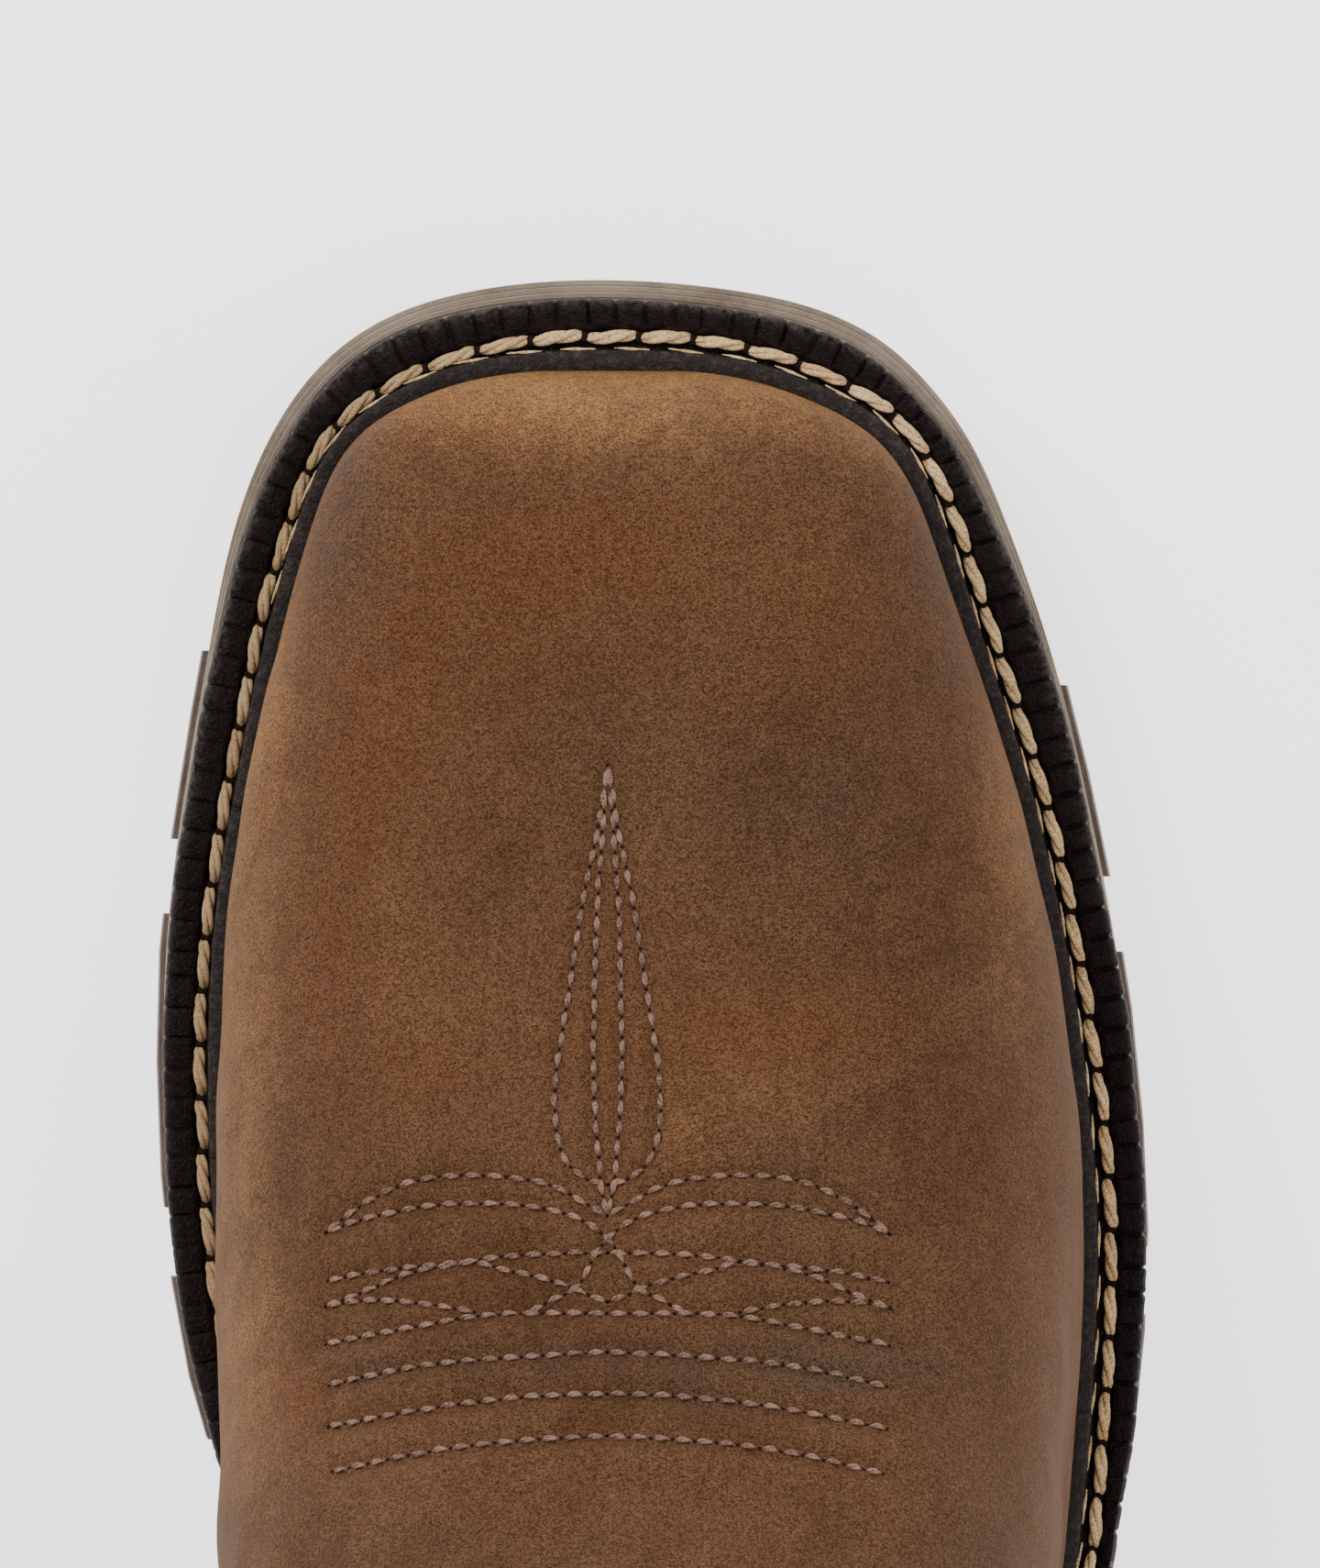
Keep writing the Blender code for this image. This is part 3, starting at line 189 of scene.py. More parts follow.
# Uneven colour of the vamp by kind: place, half width and half length in millimetres, strength
VAMP_TONES = {
    Tone.PALE: [
        # The pale marks along the toe's front edge and down the inner side are partly wear and partly
        # painted light.
        (-1.3, 291.0, 30.0, 6.0, 0.62), (24.6, 272.0, 8.0, 10.0, 0.12), (-20.4, 272.0, 8.0, 10.0, 0.07),
        (-39.3, 185.0, 5.0, 12.0, 0.14), (-1.3, 297.5, 27.0, 3.0, 0.55),
        (-41.0, 206.0, 5.5, 46.0, 0.34), (-41.0, 250.0, 5.0, 27.0, 0.16),
        (-23.7, 232.0, 4.5, 13.0, 0.18), (19.0, 215.8, 14.0, 8.0, 0.22), (8.3, 210.2, 3.0, 3.4, 0.20),
        (-10.5, 223.9, 9.0, 11.0, 0.14), (50.0, 193.5, 5.0, 34.0, 0.10), (44.5, 240.0, 5.0, 22.0, 0.34),
        (-38.0, 262.0, 4.5, 14.0, 0.30), (31.0, 286.0, 6.0, 9.0, 0.20),
    ],
    Tone.RED: [
        (-26.7, 258.4, 9.0, 21.0, 0.52), (-32.3, 226.0, 6.0, 12.0, 0.52),
        (-1.3, 274.7, 15.0, 7.0, 0.45), (27.0, 268.6, 10.0, 11.0, 0.35), (17.0, 221.9, 19.0, 5.0, 0.50),
        (-18.6, 215.8, 10.0, 7.0, 0.40), (-34.8, 181.3, 4.0, 4.0, 0.60),
        (-10.5, 266.6, 10.0, 10.0, 0.30),
    ],
    Tone.DARK: [
        (20.0, 251.3, 15.0, 9.0, 0.48), (34.2, 239.2, 9.0, 17.0, 0.42), (-10.5, 241.2, 9.0, 9.0, 0.32),
        (-2.4, 257.4, 14.0, 8.0, 0.25), (-21.6, 203.6, 14.0, 6.0, 0.42),
        (-16.6, 193.5, 20.0, 6.0, 0.48), (-1.3, 185.4, 32.0, 7.0, 0.55),
        (29.1, 209.7, 12.0, 10.0, 0.42), (42.3, 220.9, 6.0, 19.0, 0.35), (0.0, 150.0, 60.0, 24.0, 0.40),
    ],
    Tone.GREY: [
        (-30.3, 284.0, 4.5, 11.0, 0.85), (24.0, 185.4, 13.0, 4.0, 0.80), (-4.4, 185.9, 17.0, 3.0, 0.40),
        (-26.7, 186.4, 3.0, 3.0, 0.60), (16.9, 240.2, 12.0, 14.0, 0.10),
    ],
}


class Side(Enum):
    """Side of a right boot, with the sign of its widths."""

    LATERAL = 1
    MEDIAL = -1

    @property
    def tag(self) -> str:
        """Ending of a piece's name."""
        return self.name.lower()


class Finish(Enum):
    """Record slot of each finish."""

    OUTSOLE = "outsole_rubber"
    HEEL = "heel_rubber"
    MIDSOLE = "midsole_rubber"
    WELT = "welt_leather"
    INSOLE = "insole_leather"
    UPPER = "upper_leather"
    COUNTER = "counter_leather"
    BINDING = "binding_leather"
    STRAP = "strap_leather"
    PIPING = "piping_leather"


def smoothstep(value: Array | float) -> Array:
    """Soft ramp from 0 to 1."""
    t = np.clip(value, 0, 1)
    return t * t * (3 - 2 * t)


def smooth_curve(points: Sequence, closed: bool, count: int = 400) -> Array:
    """Cubic spline through points.

    Args:
        points: rows of coordinates.
        closed: whether the last point joins the first.
        count: number of points to return.

    Returns:
        Points at even steps of chord length.
    """
    points = np.asarray(points, float)
    last = len(points) if closed else len(points) - 1
    following = np.roll(points, -1, axis=0)
    steps = np.linalg.norm(following - points, axis=1)[:last]
    bends = np.eye(len(points))
    right = np.zeros_like(points)
    inside = range(len(points)) if closed else range(1, len(points) - 1)
    for i in inside:
        before, after = steps[i - 1], steps[i % last]
        bends[i, i] = 2 * (before + after)
        bends[i, i - 1] = before
        bends[i, (i + 1) % len(points)] = after
        right[i] = 6 * ((following[i] - points[i]) / after - (points[i] - points[i - 1]) / before)
    second = np.linalg.solve(bends, right)
    ends = np.concatenate([[0], np.cumsum(steps)])
    at = np.linspace(0, ends[-1], count, endpoint=not closed)
    k = np.clip(np.searchsorted(ends, at, side="right") - 1, 0, last - 1)
    n = (k + 1) % len(points)
    size = steps[k][:, None]
    b = (at - ends[k])[:, None]
    a = size - b
    return (
        second[k] * a**3 / (6 * size)
        + second[n] * b**3 / (6 * size)
        + (points[k] / size - second[k] * size / 6) * a
        + (points[n] / size - second[n] * size / 6) * b
    )


def run_lengths(line: Array) -> Array:
    """Distance along a line at each of its points."""
    return np.concatenate([[0], np.cumsum(np.linalg.norm(np.diff(line, axis=0), axis=1))])


def read_at(line: Array, at: Array, where: Array) -> Array:
    """Points of a line at distances along it, at being those of its own points."""
    return np.stack([np.interp(where, at, values) for values in line.T], -1)


def resample(line: Array, count: int) -> Array:
    """The same line with points at even distances."""
    at = run_lengths(line)
    return read_at(line, at, np.linspace(0, at[-1], count))


def circle(count: int) -> Array:
    """Angles at even steps once round."""
    return np.linspace(0, 2 * math.pi, count, endpoint=False)


def unit(vectors: Array) -> Array:
    """Vectors brought to length 1."""
    return vectors / np.maximum(np.linalg.norm(vectors, axis=-1, keepdims=True), 1e-12)


def ripple(points: Array, size: float, seed: int) -> Array:
    """Smooth unevenness between -1 and 1, the same on each run.

    Args:
        points: places to read it at.
        size: rough distance between two bumps.
        seed: picks one of many patterns.

    Returns:
        One value for each point.
    """
    source = np.random.default_rng(seed)
    total = np.zeros(points.shape[:-1])
    for _ in range(7):
        direction = source.normal(size=3)
        direction *= 2 * math.pi / (size * source.uniform(0.7, 1.6)) / np.linalg.norm(direction)
        total += np.sin(points @ direction + source.uniform(0, 2 * math.pi))
    return total / 3.6


def tone_masks(points: Array, marks: dict[Tone, list]) -> dict[str, Array]:
    """Masks of uneven colour.

    Args:
        points: corners of a piece in the boot's own lengths.
        marks: place, half sizes and strength of each mark, by kind.

    Returns:
        One mask for each kind.
    """
    masks = {tone.value: np.zeros(points.shape[:-1]) for tone in Tone}
    for tone, spots in marks.items():
        for x, y, width, length, strength in spots:
            away = ((points[..., 0] / MM - x) / width) ** 2 + ((points[..., 1] / MM - y) / length) ** 2
            masks[tone.value] += strength * np.exp(-away)
    return masks


def plain_masks(points: Array, **given: Array) -> dict[str, Array]:
    """Masks of a leather piece; those not given are zero."""
    masks = {tone.value: np.zeros(points.shape[:-1]) for tone in Tone}
    masks["crease"] = np.zeros(points.shape[:-1])
    masks.update(given)
    return masks


def grid_quads(rows: int, columns: int, closed: bool = False) -> Array:
    """Quads of a grid of points stored row by row."""
    width = columns if closed else columns - 1
    i, j = np.meshgrid(np.arange(rows - 1), np.arange(width), indexing="ij")
    k = (j + 1) % columns
    near, far = i * columns, (i + 1) * columns
    return np.stack([near + j, near + k, far + k, far + j], -1).reshape(-1, 4)


def ring_quads(rows: int, count: int) -> Array:
    """Quads of closed rings, the last of which joins the first."""
    j = np.arange(count)
    k = (j + 1) % count
    last = (rows - 1) * count
    closing = np.stack([last + j, last + k, k, j], -1)
    return np.vstack([grid_quads(rows, count, closed=True), closing])


def boot_frame(points: Array) -> Array:
    """From the boot's own lengths to the row frame."""
    low, high = (np.array(corner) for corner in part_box("collar_binding"))
    length = Last().sole_length
    return np.asarray(points, float) + [(low[0] + high[0]) / 2, -length / 2, 0]


def put(name: str, data: bpy.types.ID) -> Piece:
    """New object in the scene."""
    piece = bpy.data.objects.new(name, data)
    bpy.context.scene.collection.objects.link(piece)
    return piece


def paint(mesh: bpy.types.Mesh, masks: dict[str, Array]) -> None:
    """Writes a value for each corner, by attribute name."""
    for key, values in masks.items():
        layer = mesh.attributes.new(key, "FLOAT", "POINT")
        layer.data.foreach_set("value", np.ascontiguousarray(values, dtype=np.float32).ravel())


def make_mesh(
    name: str, points: Array, faces: Iterable, masks: dict[str, Array] | None = None
) -> Piece:
    """Smooth-shaded mesh object.

    Args:
        name: name of the piece.
        points: corners in the boot's own lengths.
        faces: lists of corner numbers.
        masks: values for each corner, by attribute name.

    Returns:
        The new object, linked to the scene.
    """
    mesh = bpy.data.meshes.new(name)
    faces = faces.tolist() if isinstance(faces, np.ndarray) else list(faces)
    mesh.from_pydata(boot_frame(points).tolist(), [], faces)
    paint(mesh, masks or {})
    mesh.shade_smooth()
    return put(name, mesh)


def tidy(piece: Piece, crease: float | None = None) -> None:
    """Merges doubled corners, turns faces outwards and marks sharp edges."""
    shape = bmesh.new()
    shape.from_mesh(piece.data)
    bmesh.ops.remove_doubles(shape, verts=shape.verts, dist=1e-6)
    bmesh.ops.dissolve_degenerate(shape, dist=1e-7, edges=shape.edges)
    bmesh.ops.recalc_face_normals(shape, faces=shape.faces)
    if shape.calc_volume(signed=True) < 0:
        bmesh.ops.reverse_faces(shape, faces=shape.faces)
    shape.to_mesh(piece.data)
    shape.free()
    if crease is not None:
        piece.data.set_sharp_from_angle(angle=math.radians(crease))


def publish(piece: Piece, finish: Finish, material: Material, *nodes: str) -> None:
    """Gives a piece its material and body, and hides the solids that it stands for."""
    piece.data.materials.append(material)
    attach(piece, "root")
    if nodes:
        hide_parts(*nodes)
    log.info("%s: %d faces", piece.name, len(piece.data.polygons))


@dataclass(frozen=True)
class Section:
    """One section of the upper, from its lower edge to the ridge."""

    base: Array
    front: Array
    bow: float
    widths: tuple[float, float]
    crest: float
    fullness: float
    flare: float


@dataclass(frozen=True)
class Outline:
    """Plan outline as two lines, heel to toe."""

    lateral: Array
    medial: Array

    def line(self, side: Side) -> Array:
        """Line of one side."""
        return self.lateral if side is Side.LATERAL else self.medial

    def half_width(self, side: Side, y: Array | float) -> Array:
        """Distance from the axis at y."""
        line = self.line(side)
        return np.interp(y, line[:, 1], line[:, 0] * side.value)

    def loop(self, count: int) -> Array:
        """Closed loop heel, outer side, toe, inner side, at even distances."""
        return self.loop_at(np.arange(count) / count)

    def loop_at(self, shares: Array) -> Array:
        """Points of the closed loop at shares of its length."""
        whole = np.vstack([self.lateral, self.medial[::-1][1:]])
        at = run_lengths(whole)
        return read_at(whole, at, shares * at[-1])


def surface_of(rows: Array) -> BVHTree:
    """Tree for rays onto rows of points."""
    return BVHTree.FromPolygons(rows.reshape(-1, 3).tolist(), grid_quads(*rows.shape[:2]).tolist())


def inset_loop(loop: Array, inset: Array | float) -> Array:
    """Moves the points of a closed loop inwards."""
    tangent = unit(np.roll(loop, -1, axis=0) - np.roll(loop, 1, axis=0))
    inward = np.column_stack([-tangent[:, 1], tangent[:, 0]])
    return loop + inward * np.broadcast_to(inset, len(loop))[:, None]


@dataclass(frozen=True)
class Last:
    """Form of the foot and shaft, the same as in the solids."""

    sole_length: float = 0.306
    ball_width: float = 0.112
    seat_height: float = 0.036
    forepart_height: float = 0.0105
    toe_spring: float = 0.0115
    throat_height: float = 0.128
    ankle_width: float = 0.076
    collar_height: float = 0.262
    collar_rise: float = 0.023
    shaft_width: float = 0.100
    shaft_depth: float = 0.134
    toe_inset: float = 0.0103
    heel_inset: float = 0.0043
    toe_rounding: float = 0.024
    skirt: float = 0.0062
    seam_y: float = 0.100
    fan_start: float = 0.205
    gap: float = 0.0003
    heel_breast: float = 0.074
    arch_end: float = 0.186
    tread_end: float = 0.226
    toe_rim: float = 0.0023
    side_rim: float = 0.0005
    arch_rim: float = 0.2
    seat_fall: float = 0.0015
    spring_power: float = 1.9
    heel_offset: float = 0.0015
    toe_offset: float = -0.0016
    vamp_edge: float = 0.5
    throat_share: float = 0.385
    heel_share: float = 0.50
    toe_crest: float = 0.10
    toe_fullness: float = 2.75
    collar_crest: float = 0.50
    collar_fullness: float = 2.05
    ball_bulge: float = 0.012

    @property
    def toe_tip(self) -> float:
        """Foremost place of the upper."""
        return self.sole_length - self.toe_inset

    def plan(self, rows: Sequence, start: float, length: float, heel_x: float, toe_x: float) -> Outline:
        """Outline from a table of shares.

        Args:
            rows: share of the length, inner and outer share of the ball width.
            start: place of the heel end.
            length: length of the outline.
            heel_x: width of the heel point.
            toe_x: width of the toe point.

        Returns:
            Both sides as dense lines.
        """
        table = np.array(rows)
        along = start + table[:, 0] * length
        lateral = np.column_stack([table[:, 2] * self.ball_width, along])
        medial = np.column_stack([-table[:, 1] * self.ball_width, along])
        ring = np.vstack([[[heel_x, start]], lateral, [[toe_x, start + length]], medial[::-1]])
        loop = smooth_curve(ring, closed=True, count=1600)
        top, bottom = int(np.argmax(loop[:, 1])), int(np.argmin(loop[:, 1]))
        loop[:, 1] = start + (loop[:, 1] - loop[bottom, 1]) * length / (loop[top, 1] - loop[bottom, 1])
        loop = np.roll(loop, -bottom, axis=0)
        top = (top - bottom) % len(loop)
        return Outline(loop[: top + 1], np.vstack([loop[top:], loop[:1]])[::-1])

    @cached_property
    def sole(self) -> Outline:
        """Outline of the sole."""
        return self.plan(SOLE_PLAN, 0.0, self.sole_length, self.heel_offset, self.toe_offset)

    @cached_property
    def foot(self) -> Outline:
        """Outline of the upper at the welt."""
        length = self.toe_tip - self.heel_inset
        return self.plan(LAST_PLAN, self.heel_inset, length, self.heel_offset, 0.0)

    def sole_top(self, y: Array | float) -> Array:
        """Height of the midsole's upper face."""
        seat = self.seat_height - self.seat_fall * np.clip(np.asarray(y) / self.heel_breast, 0, 1)
        drop = smoothstep((y - self.heel_breast) / (self.arch_end - self.heel_breast))
        toe = np.clip((y - self.tread_end) / (self.sole_length - self.tread_end), 0, None)
        spring = self.toe_spring * toe**self.spring_power
        return seat + (self.forepart_height - seat) * drop + spring

    def feather(self, y: Array | float) -> Array:
        """Height of the upper's lower edge."""
        return self.sole_top(y) + self.gap

    def rim_inset(self, y: Array) -> Array:
        """How far the welt's edge stands back from the sole's."""
        share = y / self.sole_length
        front = smoothstep((share - 0.82) / 0.17)
        ball = smoothstep((share - 0.70) / 0.12)
        side = self.side_rim * (self.arch_rim + (1 - self.arch_rim) * ball)
        return side + (self.toe_rim - side) * front

    @cached_property
    def ridge(self) -> Array:
        """Front and top line in the side view, toe to collar."""
        foot = [(y * self.sole_length, z * self.throat_height) for y, z in RIDGE_FOOT]
        collar_back = self.heel_inset + BACK_LINE[-1][0] * self.sole_length
        rise = self.collar_height - self.throat_height
        shaft = [
            (collar_back + depth * self.shaft_depth, self.throat_height + share * rise)
            for depth, share in RIDGE_SHAFT
        ]
        return smooth_curve(foot + shaft, closed=False)

    @cached_property
    def back(self) -> Array:
        """Back line, seat to collar, with the depth of the heel's rounding."""
        seat = float(self.feather(self.heel_inset))
        rise = self.collar_height - seat
        rows = [
            (self.heel_inset + y * self.sole_length, seat + z * rise, depth * self.sole_length)
            for y, z, depth in BACK_LINE
        ]
        return smooth_curve(rows, closed=False)

    @cached_property
    def top_line(self) -> Array:
        """Top line over the forefoot by rising y."""
        front = self.ridge[np.argsort(self.ridge[:, 0])]
        return front[front[:, 0] > self.seam_y + 2 * self.toe_rounding]

    def ridge_height(self, y: Array | float) -> Array:
        """Height of the top line before the toe is rounded off."""
        return np.interp(y, self.top_line[:, 0], self.top_line[:, 1])

    def ridge_at(self, share: float) -> Array:
        """Point of the ridge at a share of its length from the fan's start to the collar."""
        start = int(np.argmin(np.abs(self.ridge[:, 1] - self.ridge_height(self.fan_start))))
        line = self.ridge[start:]
        at = run_lengths(line)
        return read_at(line, at, share * at[-1])

    def toe_profile(self, y: Array | float) -> Array:
        """Height of the top line with the toe's rounding."""
        inward = np.clip((self.toe_tip - y) / self.toe_rounding, 0, 1)
        rounding = (1 - (1 - inward) ** 2.5) ** 0.4
        base = self.feather(y)
        return base + (self.ridge_height(y) - base) * rounding

    def toe_section(self, y: float) -> Section:
        """Upright section across the forefoot."""
        blend = float(smoothstep((self.toe_tip - y) / (self.toe_tip - self.fan_start)))
        ball = FAN[0]
        bulge = 1 + self.ball_bulge * blend
        return Section(
            base=np.array([y, float(self.feather(y))]),
            front=np.array([y, float(self.toe_profile(y))]),
            bow=0.0,
            widths=tuple(float(self.foot.half_width(side, y)) * bulge for side in Side),
            crest=self.toe_crest + (ball[3] - self.toe_crest) * blend,
            fullness=self.toe_fullness + (ball[4] - self.toe_fullness) * blend,
            flare=ball[5] * self.throat_height,
        )

    def fan_section(self, place: float) -> Section:
        """Section that leans back from the ball (0) over the vamp's edge to the heel (1)."""
        table = np.array(FAN)
        inner, outer, crest, fullness, flare, bow = (
            float(np.interp(place, table[:, 0], table[:, i])) for i in range(1, 7)
        )
        if place <= self.vamp_edge:
            part = place / self.vamp_edge
            base_y = self.fan_start + (self.seam_y - self.fan_start) * part
            front = self.ridge_at(self.throat_share * part)
        else:
            part = (place - self.vamp_edge) / (1 - self.vamp_edge)
            turn = 1 - math.sin(part * math.pi / 2)
            base_y = self.heel_inset + (self.seam_y - self.heel_inset) * turn
            front = self.ridge_at(self.throat_share + (self.heel_share - self.throat_share) * part)
        bulge = 1 + self.ball_bulge
        ball = [float(self.foot.half_width(side, self.fan_start)) * bulge for side in Side]
        half = self.ankle_width / 2
        return Section(
            base=np.array([base_y, float(self.feather(base_y))]),
            front=front,
            bow=bow * self.sole_length,
            widths=tuple(b + (half - b) * s for b, s in zip(ball, (outer, inner))),
            crest=crest,
            fullness=fullness,
            flare=flare * self.throat_height,
        )

    def shaft_section(self, height: float) -> Section:
        """Ring of the shaft; height runs from 0 at the heel to 1 at the collar."""
        last = FAN[-1]
        lift = self.back[0, 1] + height * (self.collar_height - self.back[0, 1])
        base = np.array([np.interp(lift, self.back[:, 1], self.back[:, 0]), lift])
        width = self.ankle_width + (self.shaft_width - self.ankle_width) * (1 - (1 - height) ** 1.7)
        return Section(
            base=base,
            front=self.ridge_at(self.heel_share + (1 - self.heel_share) * height),
            bow=0.0,
            widths=(width / 2, width / 2),
            crest=last[3] + (self.collar_crest - last[3]) * height,
            fullness=last[4] + (self.collar_fullness - last[4]) * height,
            flare=last[5] * self.throat_height,
        )

    def section_side(self, section: Section, side: Side, count: int, height: float) -> Array:
        """One side of a section, from its base to the ridge, at even steps."""
        q = (1 - np.cos(np.linspace(0, math.pi, 300))) / 2
        run = section.front - section.base
        across = np.array([run[1], -run[0]]) / np.linalg.norm(run)
        line = section.base + np.outer(q, run) + np.outer(np.sin(q * math.pi) * section.bow, across)
        y, z = line[:, 0], line[:, 1]
        widest = section.widths[0 if side is Side.LATERAL else 1]
        above = np.clip((q - section.crest) / (1 - section.crest), 0, 1)
        arch = (1 - above**section.fullness) ** (1 / section.fullness)
        back_y = np.interp(z, self.back[:, 1], self.back[:, 0])
        depth = np.interp(z, self.back[:, 1], self.back[:, 2])
        behind = np.clip(1 - (y - back_y) / depth, 0, 1)
        rounding = (1 - behind**2.1) ** (1 / 2.1)
        blend = smoothstep((z - self.feather(y) - self.skirt) / section.flare)
        plan_y = y - (back_y - self.heel_inset) * behind
        x = self.foot.half_width(side, plan_y) * (1 - blend) + widest * arch * rounding * blend
        x = np.where(q >= 1, 0, x) * side.value
        z = z + self.collar_rise * height**3 * smoothstep(np.abs(x) / widest)
        return resample(np.column_stack([x, y, z]), count)

    def section_curve(self, section: Section, count: int, height: float = 0.0) -> Array:
        """A whole section, inner base over the ridge to outer base."""
        inner = self.section_side(section, Side.MEDIAL, count, height)
        outer = self.section_side(section, Side.LATERAL, count, height)
        return np.vstack([inner, outer[::-1][1:]])

    def toe_edge(self, curve: Array) -> Array:
        """The front edge as a row of points that closes the first section."""
        t = np.linspace(-1, 1, len(curve))
        x = curve[0, 0] + (curve[-1, 0] - curve[0, 0]) * (t + 1) / 2
        y = curve[0, 1] + (self.toe_tip - curve[0, 1]) * (1 - t * t)
        return np.column_stack([x, y, self.feather(y)])

    def toe_rows(self, rows: int, count: int) -> Array:
        """Rows over the forefoot, toe edge to ball, at even distances along the top line."""
        y = self.toe_tip - (self.toe_tip - self.fan_start) * np.linspace(0, 1, 2000) ** 2.2
        line = np.column_stack([y, self.toe_profile(y)])
        at = run_lengths(line)
        places = np.interp(np.linspace(0, at[-1], rows + 1)[1:], at, y)
        made = [self.section_curve(self.toe_section(float(place)), count) for place in places]
        return np.array([self.toe_edge(made[0])] + made)

    def fan_rows(self, places: Iterable[float], count: int) -> Array:
        """Rows at places of the fan."""
        return np.array([self.section_curve(self.fan_section(float(p)), count) for p in places])

    def shaft_rows(self, heights: Iterable[float], count: int) -> Array:
        """Rings of the shaft."""
        made = [self.section_curve(self.shaft_section(h), count, h) for h in map(float, heights)]
        return np.array(made)


@dataclass
class Skin:
    """Surface as rows of points with outward normals."""

    rows: Array

    @classmethod
    def of_leg(cls, last: Last, places: Array, heights: Array, columns: int) -> "Skin":
        """Face of the last at places of the fan and heights of the shaft."""
        return cls(np.vstack([last.fan_rows(places, columns), last.shaft_rows(heights, columns)]))

    @cached_property
    def normals(self) -> Array:
        """Outward normal at each point."""
        along = np.gradient(self.rows, axis=0)
        across = np.gradient(self.rows, axis=1)
        ring = np.linalg.norm(self.rows[:, 0] - self.rows[:, -1], axis=1) < 1e-6
        if ring.any():
            seam = ((self.rows[:, 1] - self.rows[:, -2]) / 2)[ring]
            length = ((along[:, 0] + along[:, -1]) / 2)[ring]
            for end in (0, -1):
                across[ring, end] = seam
                along[ring, end] = length
        normal = np.cross(across, along)
        for end in (0, -1):
            normal[0, end] = normal[1, end]
        return -unit(normal)

    def moved(self, distance: Array | float) -> Array:
        """Rows moved outwards."""
        amount = np.asarray(distance)
        return self.rows + self.normals * (amount[..., None] if amount.ndim else amount)


@dataclass(frozen=True)
class Stitch:
    """Form of one sewn stitch: plies twisted round each other, both ends going into the work."""

    length: float
    width: float
    plies: int = 2
    turns: float = 1.0
    rings: int = 9
    sides: int = 6
    rise: float = 0.30
    dive: float = 0.75
    flat: float = 0.75
    slant: float = 0.0

    def mesh(self, centres: Array, along: Array, normals: Array) -> tuple[Array, Array, Array]:
        """Plies of many stitches.

        Args:
            centres: middle of each stitch on the surface.
            along: direction of each stitch.
            normals: outward direction at each stitch.

        Returns:
            Corners, quads and a random value for each corner, the same over one stitch.
        """
        source = np.random.default_rng(1)
        number = len(centres)
        t = np.linspace(-1, 1, self.rings)
        taper = np.sqrt(np.clip(1 - np.abs(t) ** 4.5, 0.10, 1))
        side = unit(np.cross(along, normals))
        turn_by = self.slant + source.normal(0, 0.02, number)[:, None]
        along = unit(along * np.cos(turn_by) + side * np.sin(turn_by))
        side = unit(np.cross(along, normals))
        lift = self.width * (self.rise - self.dive * np.abs(t) ** 3)
        sway = source.normal(0, 0.05, number)[:, None] * self.width * np.cos(t * math.pi / 2)
        scale = source.uniform(0.92, 1.08, number)
        ply_radius = self.width * {2: 0.30, 3: 0.27}[self.plies]
        orbit = self.width * {2: 0.20, 3: 0.24}[self.plies]
        start = source.uniform(-0.4, 0.4, number)
        around = circle(self.sides)
        corners = []
        for ply in range(self.plies):
            turn = 2 * math.pi * ply / self.plies + math.pi * self.turns * t[None, :] + start[:, None]
            middle = (
                centres[:, None]
                + along[:, None] * (t * self.length / 2)[None, :, None]
                + normals[:, None] * lift[None, :, None]
                + side[:, None] * sway[..., None]
                + side[:, None] * (np.cos(turn) * orbit * taper)[..., None]
                + normals[:, None] * (np.sin(turn) * orbit * taper * self.flat)[..., None]
            )
            upward = normals[:, None] * (np.sin(around) * self.flat)[None, :, None]
            ring = side[:, None] * np.cos(around)[None, :, None] + upward
            size = ply_radius * taper[None, :] * scale[:, None]
            corners.append(middle[:, :, None] + ring[:, None] * size[..., None, None])
        points = np.stack(corners, 1)
        tube = grid_quads(self.rings, self.sides, closed=True)
        block = self.rings * self.sides
        faces = (np.arange(number * self.plies)[:, None, None] * block + tube[None]).reshape(-1, 4)
        tone = np.repeat(source.uniform(0, 1, number), self.plies * block)
        return points.reshape(-1, 3), faces, tone


THICK_TRIM = Stitch(0.0023, 0.0008, rings=7, sides=5)
FINE_TRIM = Stitch(0.0023, 0.0007, rings=7, sides=5)
TRIM_PITCH = 0.0026
TRIM_LIFT = 0.0001


def sew(line: Array, normals: Array, pitch: float) -> tuple[Array, Array, Array, Array]:
    """Places stitches along a line on a surface.

    Args:
        line: points along the seam.
        normals: outward directions at those points.
        pitch: distance from stitch to stitch.

    Returns:
        Centres, directions and normals of the stitches, and the places of the needle holes.
    """
    at = run_lengths(line)
    number = max(1, round(at[-1] / pitch))
    middle = (np.arange(number) + 0.5) * at[-1] / number
    holes = np.arange(number + 1) * at[-1] / number
    step = pitch * 0.3
    direction = unit(read_at(line, at, middle + step) - read_at(line, at, middle - step))
    normal = unit(read_at(normals, at, middle))
    direction = unit(direction - normal * np.sum(direction * normal, axis=1, keepdims=True))
    places = read_at(np.hstack([line, normals]), at, holes)
    return read_at(line, at, middle), direction, normal, places


